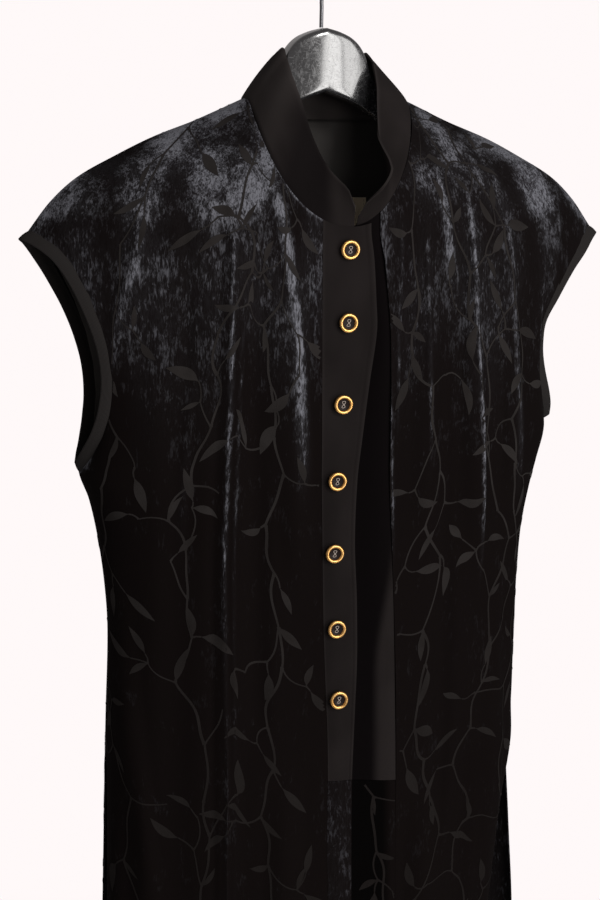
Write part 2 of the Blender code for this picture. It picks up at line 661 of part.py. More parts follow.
def armhole_loop(side):
    """The armhole's seam as a closed loop: its points and the direction in which the binding runs on."""
    table = ARMHOLES[side]
    down = [(row, FRONT) for row in table]
    up = [(row, BACK) for row in reversed(table[1:-1])]
    middle_drop = (table[0].drop + table[-1].drop) / 2
    spots = []
    for row, face in down + up:
        out = row.front_out if face == FRONT else row.back_out
        off = row.front_off if face == FRONT else row.back_off
        lean = row.front_lean if face == FRONT else row.back_lean
        towards = Vector((0, -face * off, row.drop - middle_drop))
        towards = towards.normalized() if towards.length > 0 else Vector((0, 0, 0))
        run = (Vector((side, 0, 0)) + towards * lean).normalized()
        spots.append((Vector((side * out, face * off, NECK_Z - row.drop)), run))
    return spots


def make_binding(name, side, jersey):
    spots = armhole_loop(side)
    count = len(spots)
    outside, inside = [], []
    for i, (seam, run) in enumerate(spots):
        along = spots[(i + 1) % count][0] - spots[i - 1][0]
        normal = run.cross(along).normalized()
        towards_middle = Vector((side * 0.10, 0, NECK_Z - 0.22)) - seam
        if normal.dot(towards_middle) > 0:
            normal.negate()
        start, end = seam + run * SEAM * 2, seam + run * BINDING_WIDTH
        lift = normal * (BINDING_WALL - VELVET) / 2
        drop_in = normal * (BINDING_WALL + VELVET) / 2
        outside.append([start + lift, end + lift])
        inside.append([start - drop_in, end - drop_in])
    return wall(name, outside, inside, jersey, ring=True)


def turned(name, profile, sides, place, made_of):
    """A closed ring or disc turned about an axis along Y from (radius, height towards the viewer)."""
    made = bmesh.new()
    rings = []
    for radius, height in profile:
        if radius == 0:
            rings.append([made.verts.new((0, -height, 0))])
            continue
        turns = [2 * math.pi * i / sides for i in range(sides)]
        rings.append([made.verts.new((radius * math.cos(a), -height, radius * math.sin(a))) for a in turns])
    closed = profile[0][0] > 0
    pairs = list(zip(rings, rings[1:]))
    if closed:
        pairs.append((rings[-1], rings[0]))
    for a, b in pairs:
        for i in range(sides):
            j = (i + 1) % sides
            corners = [a[i % len(a)], a[j % len(a)], b[j % len(b)], b[i % len(b)]]
            made.faces.new(dict.fromkeys(corners))
    obj = add_object(name, made, made_of)
    obj.location = place
    return obj


def make_buttons(gold, black):
    rim = [
        (BUTTON_BORE, 0.0),
        (BUTTON_R - 0.0008, 0.0),
        (BUTTON_R, 0.0014),
        (BUTTON_R - 0.0006, BUTTON_HIGH - 0.0008),
        ((BUTTON_R + BUTTON_BORE) / 2, BUTTON_HIGH),
        (BUTTON_BORE, BUTTON_HIGH - 0.0012),
    ]
    disc_r = BUTTON_BORE - SEAM
    disc = [
        (0, 0.0),
        (disc_r, 0.0),
        (disc_r, BUTTON_CENTRE_HIGH),
        (disc_r * 0.7, BUTTON_CENTRE_HIGH - 0.0006),
        (0, BUTTON_CENTRE_HIGH - 0.0008),
    ]
    for number, (x, drop) in enumerate(zip(BUTTON_X, BUTTON_DROPS), start=1):
        off = middle_off(FRONT, abs(x), drop) + BAND_BULGE + SEAM
        place = Vector((x, -off, NECK_Z - drop))
        turned(f"button_rim_{number}", rim, BUTTON_SIDES, place, gold)
        turned(f"button_centre_{number}", disc, BUTTON_SIDES, place, black)


def make_hanger(lacquer):
    """A broad moulded hanger: rounded sections lofted from one arm's end to the other's."""
    arms = [(-1, a) for a in reversed(HANGER[1:])] + [(1, a) for a in HANGER]
    made = bmesh.new()
    rings = []
    sides = HANGER_SIDES
    for sign, arm in arms:
        ring = []
        for i in range(sides):
            turn = 2 * math.pi * i / sides
            y = arm.thick / 2 * math.sin(turn)
            z = arm.high / 2 * math.cos(turn)
            ring.append(made.verts.new((HANGER_X + sign * arm.out, y, NECK_Z - arm.top - arm.high / 2 + z)))
        rings.append(ring)
    for a, b in zip(rings, rings[1:]):
        for i in range(sides):
            j = (i + 1) % sides
            made.faces.new((a[i], a[j], b[j], b[i]))
    made.faces.new(rings[0])
    made.faces.new(rings[-1])
    return add_object("hanger", made, lacquer)


def hook_line():
    """The hook's wire: up from the hanger, out to one side and over the top to the other."""
    middle = -HOOK_R
    bend = HOOK_R + HOOK_WIRE / 2
    foot = NECK_Z - HANGER[0].top + SEAM
    points = [Vector((ROD_X, 0, mix(foot, HOOK_NECK_Z, i / 3))) for i in range(4)]
    for out, up in ((0.05, 0.006), (0.36, 0.0135), (0.74, 0.0225)):
        points.append(Vector((mix(ROD_X, bend, out), 0, HOOK_NECK_Z + up)))
    start, end, turns = -15, 190, 14
    for i in range(turns + 1):
        turn = math.radians(mix(start, end, i / turns))
        points.append(Vector((bend * math.cos(turn), 0, middle + bend * math.sin(turn))))
    return points


def make_hook(steel):
    curve = bpy.data.curves.new("hanger_hook", "CURVE")
    curve.dimensions = "3D"
    curve.bevel_depth = HOOK_WIRE / 2
    curve.bevel_resolution = 2
    curve.use_fill_caps = True
    line = curve.splines.new("POLY")
    points = hook_line()
    line.points.add(len(points) - 1)
    for spot, p in zip(line.points, points):
        spot.co = (*p, 1.0)
    curve.materials.append(steel)
    obj = bpy.data.objects.new("hanger_hook", curve)
    bpy.context.scene.collection.objects.link(obj)
    obj.parent = ROOT
    return obj


# ---------------------------------------------------------------- the model

for old in list(bpy.data.objects):
    bpy.data.objects.remove(old, do_unlink=True)

ROOT = bpy.data.objects.new("vest", None)
bpy.context.scene.collection.objects.link(ROOT)

velvet = material("velvet", (0.020, 0.022, 0.027), 0.65)
crepe = material("crepe", (0.014, 0.012, 0.011), 0.90)
jersey = material("rib_jersey", (0.013, 0.013, 0.014), 0.90)
tape = material("label_tape", (0.42, 0.36, 0.27), 0.80)
gold = material("gold_metal", (0.83, 0.55, 0.22), 0.28, 1.0)
black = material("black_plastic", (0.010, 0.009, 0.009), 0.25)
lacquer = material("black_lacquer", (0.012, 0.012, 0.013), 0.22)
steel = material("steel_wire", (0.50, 0.50, 0.50), 0.30, 1.0)

make_front("front_right", RIGHT, velvet)
make_front("front_left", LEFT, velvet)
make_back(velvet)
make_bands(crepe, velvet)
make_collar(crepe)
make_binding("armhole_binding_right", RIGHT, jersey)
make_binding("armhole_binding_left", LEFT, jersey)
make_lining(crepe)
make_label(tape)
make_buttons(gold, black)
make_hanger(lacquer)
make_hook(steel)
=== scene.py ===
"""Looks of a long velvet vest on its hanger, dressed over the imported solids.

Metres, +Z up, the vest faces -Y, and sides are the wearer's own: the right front lies at -X.
The cloth's surface is worked out from the same named sizes and tables as the solids, on finer grids.
"""

import math
import random
from collections import namedtuple

import bmesh
import bpy
import numpy as np
from mathutils import Matrix, Vector, noise


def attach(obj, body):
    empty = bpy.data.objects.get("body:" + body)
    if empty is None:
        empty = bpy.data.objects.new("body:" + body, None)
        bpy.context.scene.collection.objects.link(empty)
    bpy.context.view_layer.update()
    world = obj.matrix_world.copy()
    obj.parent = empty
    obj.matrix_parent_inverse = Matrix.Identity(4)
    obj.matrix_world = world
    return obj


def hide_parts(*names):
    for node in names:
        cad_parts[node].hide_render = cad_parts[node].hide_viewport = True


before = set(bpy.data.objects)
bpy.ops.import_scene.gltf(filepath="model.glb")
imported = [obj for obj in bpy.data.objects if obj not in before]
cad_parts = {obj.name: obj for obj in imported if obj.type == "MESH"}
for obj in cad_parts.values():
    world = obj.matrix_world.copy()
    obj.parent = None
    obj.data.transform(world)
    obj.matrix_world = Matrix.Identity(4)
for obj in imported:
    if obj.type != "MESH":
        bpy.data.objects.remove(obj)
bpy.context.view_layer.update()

# ---------------------------------------------------------------- the solids' own sizes

NECK_Z = -0.150
HEM_DROP = 1.100
UNDERARM_DROP = 0.343
BAND_END_DROP = 0.641
UNDERLAP_LONGER = 0.007
SEAM = 0.0003
NECK_HALF = 0.078
NECK_FRONT_DROP = 0.110
NECK_BACK_DROP = 0.016
NECK_POWER = 0.5
NECK_POWER_LEFT_FRONT = 0.87
SHOULDER_POWER = 1.6
SECTION_YOKE = (3.6, 1.0)
SECTION_BODY = (2.7, 2.2)
SECTION_TURN = (0.55, 0.5)
SIDE_BLEND = 0.25
RIGHT, LEFT = -1, 1
FRONT, BACK = -1, 1

Shoulder = namedtuple("Shoulder", "out drop front_round back_round")
SHOULDER = (
    Shoulder(0.025, -0.0120, 0.120, 0.040),
    Shoulder(0.055, -0.0080, 0.120, 0.034),
    Shoulder(0.078, 0.0000, 0.120, 0.029),
    Shoulder(0.120, 0.0185, 0.120, 0.042),
    Shoulder(0.163, 0.0350, 0.122, 0.072),
    Shoulder(0.198, 0.0520, 0.122, 0.095),
    Shoulder(0.233, 0.0715, 0.120, 0.108),
    Shoulder(0.257, 0.0930, 0.115, 0.110),
    Shoulder(0.277, 0.1190, 0.110, 0.110),
)
Armhole = namedtuple("Armhole", "drop front_out front_off back_out back_off front_lean back_lean")
ARMHOLE_RIGHT = (
    Armhole(0.119, 0.2770, 0.0000, 0.2770, 0.0000, 0.75, 0.75),
    Armhole(0.126, 0.2640, 0.0130, 0.2705, 0.0120, 0.55, 0.55),
    Armhole(0.139, 0.2490, 0.0240, 0.2610, 0.0220, 0.45, 0.45),
    Armhole(0.160, 0.2355, 0.0330, 0.2475, 0.0320, 0.40, 0.40),
    Armhole(0.190, 0.2225, 0.0400, 0.2315, 0.0400, 0.35, 0.35),
    Armhole(0.220, 0.2130, 0.0425, 0.2200, 0.0430, 0.32, 0.32),
    Armhole(0.250, 0.2090, 0.0420, 0.2130, 0.0430, 0.32, 0.32),
    Armhole(0.278, 0.2110, 0.0385, 0.2115, 0.0400, 0.35, 0.35),
    Armhole(0.303, 0.2165, 0.0300, 0.2155, 0.0325, 0.50, 0.50),
    Armhole(0.324, 0.2245, 0.0180, 0.2225, 0.0205, 0.90, 0.90),
    Armhole(0.337, 0.2305, 0.0075, 0.2295, 0.0085, 1.60, 1.60),
    Armhole(0.343, 0.2330, 0.0000, 0.2330, 0.0000, 2.20, 2.20),
)
ARMHOLE_LEFT = (
    Armhole(0.1190, 0.2770, 0.0000, 0.2770, 0.0000, 0.75, 0.75),
    Armhole(0.1250, 0.2700, 0.0075, 0.2735, 0.0070, 0.90, 0.55),
    Armhole(0.1360, 0.2610, 0.0145, 0.2675, 0.0135, 1.00, 0.45),
    Armhole(0.1540, 0.2445, 0.0255, 0.2545, 0.0245, 1.10, 0.40),
    Armhole(0.1800, 0.2262, 0.0370, 0.2350, 0.0360, 1.15, 0.35),
    Armhole(0.2060, 0.2130, 0.0420, 0.2200, 0.0415, 1.15, 0.32),
    Armhole(0.2320, 0.2097, 0.0428, 0.2140, 0.0430, 1.10, 0.32),
    Armhole(0.2560, 0.2120, 0.0395, 0.2135, 0.0405, 0.90, 0.35),
    Armhole(0.2775, 0.2190, 0.0320, 0.2180, 0.0340, 0.70, 0.50),
    Armhole(0.2955, 0.2268, 0.0195, 0.2250, 0.0215, 0.50, 0.50),
    Armhole(0.3070, 0.2312, 0.0080, 0.2305, 0.0090, 0.40, 0.40),
    Armhole(0.3120, 0.2335, 0.0000, 0.2335, 0.0000, 0.40, 0.40),
)
ARMHOLES = {RIGHT: ARMHOLE_RIGHT, LEFT: ARMHOLE_LEFT}
Side = namedtuple("Side", "drop right left front_depth back_depth")
SIDES = (
    Side(0.000, 0.2330, 0.2335, 0.0830, 0.056),
    Side(0.312, 0.2330, 0.2335, 0.0830, 0.058),
    Side(0.343, 0.2330, 0.2265, 0.0830, 0.058),
    Side(0.370, 0.2235, 0.2200, 0.0830, 0.058),
    Side(0.410, 0.2150, 0.2130, 0.0830, 0.058),
    Side(0.455, 0.2090, 0.2105, 0.0830, 0.057),
    Side(0.500, 0.2065, 0.2105, 0.0825, 0.056),
    Side(0.580, 0.2090, 0.2115, 0.0820, 0.055),
    Side(0.640, 0.2105, 0.2120, 0.0815, 0.054),
    Side(0.745, 0.2125, 0.2210, 0.0800, 0.052),
    Side(0.850, 0.2150, 0.2300, 0.0785, 0.050),
    Side(1.100, 0.2230, 0.2400, 0.0760, 0.048),
)
Slit = namedtuple("Slit", "drop right_in right_off left_in left_off")
SLITS = (
    Slit(0.600, 0.0000, 0.0000, 0.0000, 0.0000),
    Slit(0.640, 0.0005, 0.0050, 0.0015, 0.0080),
    Slit(0.700, 0.0010, 0.0085, 0.0180, 0.0190),
    Slit(0.790, 0.0020, 0.0110, 0.0380, 0.0260),
    Slit(0.900, 0.0030, 0.0130, 0.0560, 0.0310),
    Slit(1.100, 0.0050, 0.0160, 0.0700, 0.0350),
)
Opening = namedtuple("Opening", "drop right_seam free_edge left_seam")
OPENING = (
    Opening(0.000, -0.0270, 0.0190, 0.0280),
    Opening(0.115, -0.0270, 0.0190, 0.0280),
    Opening(0.140, -0.0265, 0.0220, 0.0325),
    Opening(0.176, -0.0260, 0.0250, 0.0375),
    Opening(0.204, -0.0255, 0.0265, 0.0405),
    Opening(0.250, -0.0245, 0.0210, 0.0425),
    Opening(0.306, -0.0235, 0.0150, 0.0435),
    Opening(0.343, -0.0230, 0.0115, 0.0440),
    Opening(0.401, -0.0210, 0.0105, 0.0480),
    Opening(0.460, -0.0190, 0.0140, 0.0520),
    Opening(0.519, -0.0160, 0.0160, 0.0555),
    Opening(0.590, -0.0115, 0.0150, 0.0590),
    Opening(0.641, -0.0095, 0.0145, 0.0610),
    Opening(0.714, -0.0085, 0.0160, 0.0635),
    Opening(0.790, -0.0050, 0.0185, 0.0665),
    Opening(1.100, 0.0040, 0.0300, 0.0760),
)
Fold = namedtuple("Fold", "face x_top drop_top x_foot drop_foot spread height")
FOLDS = (
    Fold(FRONT, -0.108, 0.090, -0.112, 1.080, 0.022, 0.0045),
    Fold(FRONT, -0.066, 0.090, -0.040, 0.480, 0.022, 0.0050),
    Fold(FRONT, -0.090, 0.100, -0.078, 0.640, 0.018, -0.0040),
    Fold(FRONT, -0.184, 0.080, -0.206, 0.300, 0.020, 0.0040),
    Fold(FRONT, -0.150, 0.110, -0.156, 0.900, 0.026, -0.0045),
    Fold(FRONT, -0.212, 0.400, -0.176, 0.800, 0.018, 0.0060),
    Fold(FRONT, -0.196, 0.560, -0.198, 1.080, 0.014, -0.0040),
    Fold(FRONT, -0.052, 0.600, -0.048, 1.090, 0.024, 0.0060),
    Fold(FRONT, 0.118, 0.070, 0.147, 0.480, 0.018, 0.0050),
    Fold(FRONT, 0.144, 0.050, 0.190, 0.420, 0.018, 0.0045),
    Fold(FRONT, 0.076, 0.120, 0.084, 0.420, 0.020, 0.0040),
    Fold(FRONT, 0.098, 0.100, 0.112, 0.760, 0.018, -0.0045),
    Fold(FRONT, 0.203, 0.100, 0.208, 0.260, 0.012, 0.0025),
    Fold(FRONT, 0.172, 0.480, 0.178, 1.080, 0.020, 0.0060),
    Fold(FRONT, 0.140, 0.560, 0.130, 1.080, 0.022, -0.0055),
    Fold(FRONT, 0.092, 0.640, 0.098, 1.090, 0.024, 0.0060),
    Fold(BACK, -0.060, 0.160, -0.074, 1.080, 0.030, 0.0055),
    Fold(BACK, -0.132, 0.090, -0.140, 0.760, 0.026, 0.0050),
    Fold(BACK, -0.100, 0.120, -0.108, 1.080, 0.022, -0.0050),
    Fold(BACK, -0.168, 0.420, -0.172, 1.080, 0.020, 0.0060),
    Fold(BACK, -0.010, 0.320, 0.004, 1.080, 0.030, -0.0050),
    Fold(BACK, 0.052, 0.200, 0.060, 0.820, 0.026, 0.0050),
    Fold(BACK, 0.098, 0.070, 0.116, 1.080, 0.024, -0.0045),
    Fold(BACK, 0.146, 0.080, 0.158, 1.080, 0.026, 0.0055),
    Fold(BACK, 0.190, 0.520, 0.198, 1.080, 0.018, -0.0040),
)
FOLD_FADE = 0.10
Stand = namedtuple("Stand", "angle height lean")
STANDS = (
    Stand(0, 0.018, 0.002),
    Stand(4, 0.0325, 0.009),
    Stand(9, 0.0400, 0.018),
    Stand(19, 0.048, 0.029),
    Stand(31, 0.056, 0.040),
    Stand(45, 0.059, 0.045),
    Stand(61, 0.053, 0.040),
    Stand(75, 0.047, 0.037),
    Stand(79, 0.049, 0.036),
    Stand(84, 0.048, 0.034),
    Stand(90, 0.0425, 0.031),
    Stand(101, 0.0405, 0.030),
    Stand(130, 0.046, 0.028),
    Stand(180, 0.056, 0.022),
    Stand(230, 0.048, 0.028),
    Stand(245, 0.049, 0.030),
    Stand(254, 0.044, 0.031),
    Stand(262, 0.039, 0.031),
    Stand(271, 0.035, 0.031),
    Stand(292, 0.045, 0.036),
    Stand(312, 0.0483, 0.0340),
    Stand(322, 0.0478, 0.0315),
    Stand(330, 0.0450, 0.0245),
    Stand(335, 0.0420, 0.0120),
    Stand(340, 0.0390, -0.0045),
    Stand(345, 0.0357, -0.0180),
    Stand(350, 0.0295, -0.0200),
    Stand(354, 0.0235, -0.0145),
    Stand(357, 0.0175, -0.0085),
    Stand(360, 0.008, -0.002),
)
BINDING_WIDTH = 0.011
BAND_BULGE = 0.0022
BAND_CROWN = 0.6
BAND_BULGE_OVER = 0.02
UNDERLAP = 0.030
UNDERLAP_SINK = 0.011
UNDERLAP_SINK_TOP = 0.0035
UNDERLAP_SINK_OVER = 0.12
UNDERLAP_SINK_BY = 0.6
UNDERLAP_TUCK = 0.0015
COLLAR_ENDS = (0.003, 0.007)
COLLAR_MEET_X = 0.005
COLLAR_CURVE = 1.2
BUTTON_DROPS = (0.130, 0.196, 0.271, 0.343, 0.412, 0.486, 0.557)
BUTTON_X = (-0.002, -0.002, -0.005, -0.009, -0.010, -0.006, -0.002)
BUTTON_R = 0.0090
BUTTON_BORE = 0.0056
BUTTON_HIGH = 0.0042
BUTTON_CENTRE_HIGH = 0.0026
LABEL_SIZE = (0.090, 0.045)
LABEL_MIDDLE = (0.016, 0.117)
HANGER_X = -0.0030
ROD_X = -0.0055
Arm = namedtuple("Arm", "out top high thick")
HANGER = (
    Arm(0.0000, -0.0640, 0.0570, 0.0300),
    Arm(0.0130, -0.0605, 0.0580, 0.0300),
    Arm(0.0262, -0.0540, 0.0565, 0.0295),
    Arm(0.0360, -0.0430, 0.0500, 0.0285),
    Arm(0.0435, -0.0250, 0.0370, 0.0280),
    Arm(0.0530, -0.0090, 0.0285, 0.0280),
    Arm(0.0680, 0.0025, 0.0260, 0.0280),
    Arm(0.0900, 0.0130, 0.0250, 0.0280),
    Arm(0.1200, 0.0260, 0.0250, 0.0280),
    Arm(0.1500, 0.0375, 0.0250, 0.0280),
    Arm(0.1800, 0.0505, 0.0240, 0.0280),
    Arm(0.2050, 0.0655, 0.0210, 0.0250),
    Arm(0.2200, 0.0795, 0.0120, 0.0190),
)
HOOK_WIRE = 0.0036
HOOK_R = 0.023
HOOK_NECK_Z = -0.060
NECK_SHARE = 0.37
NECK_SPREAD = 0.36

# ---------------------------------------------------------------- looks: fine creases and thicknesses

VELVET_WALL = 0.0014
CREPE_WALL = 0.0016
LINING_WALL = 0.0008
COLLAR_WALL = 0.0020
UNEVEN = 0.0012  # the velvet's small uneven waves
NECK_SEAM_WIDTH = 0.0035  # of the pile along the neck seam, pressed flat
# Painted light on the back beside the slits, which lies in shadow.
SLIT_SHINE = 0.30  # of the back beside the slits

# Creases of the velvet: half width, height, how brightly its crushed pile shines there as a painted highlight
# (a negative value paints shade along a dark crease instead), and the line it follows as X and drop.
Crease = namedtuple("Crease", "face width height shine line")
CREASES = (
    Crease(FRONT, 0.0020, 0.0020, 0.80,
           ((-0.108, 0.090), (-0.110, 0.246), (-0.114, 0.413), (-0.109, 0.649), (-0.106, 1.080))),
    Crease(FRONT, 0.0013, 0.0010, 0.50,
           ((-0.099, 0.180), (-0.101, 0.250), (-0.105, 0.413), (-0.100, 0.649), (-0.099, 0.900))),
    Crease(FRONT, 0.0040, -0.0016, 0.00,
           ((-0.119, 0.120), (-0.121, 0.260), (-0.124, 0.413), (-0.118, 0.900))),
    Crease(FRONT, 0.0070, 0.0022, 0.88,
           ((-0.071, 0.070), (-0.059, 0.136), (-0.051, 0.188), (-0.047, 0.240), (-0.044, 0.294),
            (-0.041, 0.330))),
    Crease(FRONT, 0.0015, 0.0010, 0.45, ((-0.032, 0.125), (-0.030, 0.190), (-0.029, 0.250))),
    Crease(FRONT, 0.0076, 0.0018, 0.75,
           ((-0.180, 0.080), (-0.190, 0.141), (-0.200, 0.174), (-0.208, 0.223))),
    Crease(FRONT, 0.0023, 0.0010, 0.45, ((-0.249, 0.118), (-0.240, 0.145), (-0.232, 0.165))),
    Crease(FRONT, 0.0023, 0.0010, 0.50, ((-0.230, 0.130), (-0.225, 0.176), (-0.222, 0.195))),
    Crease(FRONT, 0.0102, 0.0025, 0.10,
           ((-0.216, 0.411), (-0.209, 0.519), (-0.199, 0.579), (-0.190, 0.660))),
    Crease(FRONT, 0.0085, 0.0012, 0.80, ((-0.119, 0.050), (-0.108, 0.085), (-0.104, 0.130))),
    Crease(FRONT, 0.0060, -0.0020, 0.00, ((-0.150, 0.100), (-0.146, 0.150), (-0.143, 0.240))),
    Crease(FRONT, 0.0043, 0.0010, 0.22,
           ((-0.146, 0.130), (-0.141, 0.220), (-0.148, 0.330), (-0.150, 0.400))),
    Crease(FRONT, 0.0017, 0.0012, 0.60,
           ((0.031, 0.125), (0.036, 0.191), (0.0405, 0.243), (0.045, 0.316), (0.050, 0.420))),
    Crease(FRONT, 0.0017, 0.0012, 0.55, ((0.049, 0.105), (0.050, 0.160), (0.049, 0.217), (0.050, 0.290))),
    Crease(FRONT, 0.0026, 0.0014, 0.45, ((0.072, 0.110), (0.076, 0.170), (0.079, 0.233), (0.084, 0.319))),
    Crease(FRONT, 0.0064, 0.0020, 0.85, ((0.088, 0.060), (0.094, 0.110), (0.099, 0.160))),
    Crease(FRONT, 0.0021, 0.0020, 0.90,
           ((0.116, 0.065), (0.123, 0.145), (0.130, 0.230), (0.138, 0.300), (0.143, 0.365), (0.146, 0.430))),
    Crease(FRONT, 0.0055, 0.0020, 0.85, ((0.122, 0.040), (0.134, 0.062), (0.142, 0.095))),
    Crease(FRONT, 0.0051, 0.0016, 0.55,
           ((0.148, 0.050), (0.160, 0.110), (0.170, 0.190), (0.180, 0.271), (0.187, 0.350))),
    Crease(FRONT, 0.0014, 0.0012, 0.55, ((0.204, 0.095), (0.208, 0.150), (0.209, 0.220), (0.210, 0.250))),
    Crease(FRONT, 0.0017, 0.0010, 0.50, ((0.229, 0.080), (0.228, 0.120), (0.224, 0.160))),
    Crease(FRONT, 0.0043, 0.0014, 0.14, ((0.176, 0.440), (0.174, 0.540), (0.182, 0.620), (0.184, 0.760))),
    Crease(FRONT, 0.0060, -0.0018, 0.00, ((0.110, 0.120), (0.114, 0.250), (0.120, 0.430))),
    Crease(FRONT, 0.0060, -0.0018, 0.00, ((0.150, 0.130), (0.160, 0.240), (0.166, 0.380))),
    Crease(FRONT, 0.0050, -0.0016, -0.90, ((-0.124, 0.017), (-0.101, 0.027), (-0.080, 0.041))),
    Crease(FRONT, 0.0051, 0.0012, 0.95, ((-0.112, 0.036), (-0.100, 0.050), (-0.086, 0.085))),
    Crease(FRONT, 0.0043, 0.0010, 0.70, ((-0.160, 0.046), (-0.190, 0.062), (-0.205, 0.080))),
    Crease(BACK, 0.0023, 0.0018, 0.75,
           ((-0.132, 0.080), (-0.138, 0.260), (-0.142, 0.420), (-0.140, 0.720))),
    Crease(BACK, 0.0051, 0.0018, 0.60, ((-0.066, 0.120), (-0.062, 0.240), (-0.072, 0.400))),
    Crease(BACK, 0.0020, 0.0014, 0.50, ((-0.190, 0.100), (-0.196, 0.200), (-0.200, 0.300))),
    Crease(BACK, 0.0023, 0.0016, 0.65, ((0.052, 0.120), (0.056, 0.300), (0.062, 0.460))),
    Crease(BACK, 0.0020, 0.0018, 0.80, ((0.144, 0.070), (0.150, 0.240), (0.156, 0.420), (0.160, 0.900))),
    Crease(BACK, 0.0051, 0.0018, 0.55, ((0.100, 0.050), (0.096, 0.160), (0.100, 0.260))),
    Crease(BACK, 0.0043, 0.0014, 0.40, ((0.004, 0.060), (0.000, 0.180), (0.002, 0.300))),
)
# The next values paint the velvet's sheen into its colour: on the shoulders' tops, along the front's neck
# seam, and as glints on the chest.
SHOULDER_SHINE = {RIGHT: (1.30, 0.80), LEFT: (0.60, 0.74)}  # near the collar, and at the tip
SEAM_SHINE = {RIGHT: 0.70, LEFT: 0.30}  # along the neck seam
CHEST_SHINE = 0.36  # scattered glints between the creases, which end at the waist
CREASE_FADE = 0.045  # length over which a crease dies away at its top
FOOT_FADE = 0.110  # and at its foot
# Painted light falloff: the painted sheen is made weaker down the vest.
Shine = namedtuple("Shine", "drop share")
SHINE_FALL = (  # the pile's shine dies away down the vest, where less light falls along it
    Shine(0.00, 1.00),
    Shine(0.30, 1.00),
    Shine(0.42, 0.75),
    Shine(0.52, 0.40),
    Shine(0.65, 0.26),
    Shine(1.10, 0.14),
)

# ---------------------------------------------------------------- numbers along tables


def read(table, column, where, key="drop"):
    """A smooth curve through one column of a table, for an array of places."""
    keys = np.array([getattr(row, key) for row in table], float)
    values = np.array([getattr(row, column) for row in table], float)
    slopes = np.empty_like(values)
    slopes[1:-1] = (values[2:] - values[:-2]) / (keys[2:] - keys[:-2])
    slopes[0] = (values[1] - values[0]) / (keys[1] - keys[0])
    slopes[-1] = (values[-1] - values[-2]) / (keys[-1] - keys[-2])
    where = np.clip(np.asarray(where, float), keys[0], keys[-1])
    i = np.clip(np.searchsorted(keys, where, side="right") - 1, 0, len(keys) - 2)
    span = keys[i + 1] - keys[i]
    t = (where - keys[i]) / span
    rise = values[i + 1] - values[i]
    a = slopes[i] * span - rise
    b = rise - slopes[i + 1] * span
    return values[i] + rise * t + t * (1 - t) * (a * (1 - t) + b * t)


def mix(a, b, t):
    """From a (t = 0) to b (t = 1), in a straight line."""
    return a + (b - a) * t


def step(t):
    """From 0 to 1, smoothly, as t goes from 0 to 1."""
    t = np.clip(t, 0.0, 1.0)
    return t * t * (3 - 2 * t)


def drop_of(points):
    """How far points lie below the neck point."""
    return NECK_Z - points[..., 2]


# ---------------------------------------------------------------- the cloth's surface


def top_of(side, face, out):
    """The drop of a panel's top edge: the neckline inside, the shoulder seam outside."""
    out = np.asarray(out, float)
    deepest = NECK_FRONT_DROP if face == FRONT else NECK_BACK_DROP
    power = NECK_POWER_LEFT_FRONT if face == FRONT and side == LEFT else NECK_POWER
    inside = deepest * np.clip(1 - (out / NECK_HALF) ** 2, 0, 1) ** power
    return np.where(out >= NECK_HALF, read(SHOULDER, "drop", out, "out"), inside)


def inner_edge(side, face, drop):
    """How far out a panel begins: the middle behind, the band's seam in front."""
    if face == BACK:
        return np.zeros_like(np.asarray(drop, float))
    return side * read(OPENING, "right_seam" if side == RIGHT else "left_seam", drop)


def armhole_column(side, column, row):
    """A column of the armhole's table at rows 0..1, straight between its sections as in the solids."""
    table = ARMHOLES[side]
    values = [getattr(section, column) for section in table]
    return np.interp(np.clip(row, 0, 1) * (len(table) - 1), np.arange(len(table)), values)


def outer_edge(side, face, row):
    """(out, distance off the middle plane, drop) of a panel's outer edge."""
    row = np.asarray(row, float)
    which = "front" if face == FRONT else "back"
    lift = (ARMHOLES[side][-1].drop - UNDERARM_DROP) * (1 - step((row - 1) / SIDE_BLEND))
    drop = np.where(row <= 1, armhole_column(side, "drop", row), mix(UNDERARM_DROP, HEM_DROP, row - 1) + lift)
    name = "right" if side == RIGHT else "left"
    out, off = read(SIDES, name, drop), np.zeros_like(drop)
    if face == FRONT:
        out = out - read(SLITS, name + "_in", drop)
        off = read(SLITS, name + "_off", drop)
    out = np.where(row <= 1, armhole_column(side, which + "_out", row), out)
    off = np.where(row <= 1, armhole_column(side, which + "_off", row), off)
    return out, off, drop


def fold_height(face, x, drop):
    """How far the large folds stand off the body's plain surface."""
    total = np.zeros(np.broadcast(x, drop).shape)
    for fold in FOLDS:
        if fold.face != face:
            continue
        along = (drop - fold.drop_top) / (fold.drop_foot - fold.drop_top)
        across = (x - mix(fold.x_top, fold.x_foot, along)) / fold.spread
        lift = fold.height * step((drop - fold.drop_top) / FOLD_FADE)
        if fold.drop_foot < HEM_DROP - 2 * FOLD_FADE:
            lift = lift * (1 - step((drop - fold.drop_foot + FOLD_FADE) / FOLD_FADE))
        near = (np.abs(across) < 1) & (drop > fold.drop_top) & (drop < fold.drop_foot + FOLD_FADE)
        total += np.where(near, lift * np.cos(math.pi / 2 * np.clip(across, -1, 1)) ** 2, 0.0)
    return total


def crease_at(face, x, drop):
    """(height, painted sheen, and the share of it left by the painted shade of dark creases) of the creases
    at places given by X and drop.
    """
    height = np.zeros(np.broadcast(x, drop).shape)
    shine, sheen_left_by_shade = np.zeros_like(height), np.ones_like(height)
    for crease in CREASES:
        if crease.face != face:
            continue
        xs, drops = zip(*crease.line)
        line = np.interp(drop, drops, xs)
        ends = step((drop - drops[0]) / CREASE_FADE + 0.5) * (1 - step((drop - drops[-1]) / FOOT_FADE + 0.5))
        bell = np.exp(-(((x - line) / crease.width) ** 2)) * ends
        height += crease.height * bell
        shine = np.maximum(shine, crease.shine * bell)
        sheen_left_by_shade *= 1 + min(crease.shine, 0.0) * bell
    return height, shine, sheen_left_by_shade


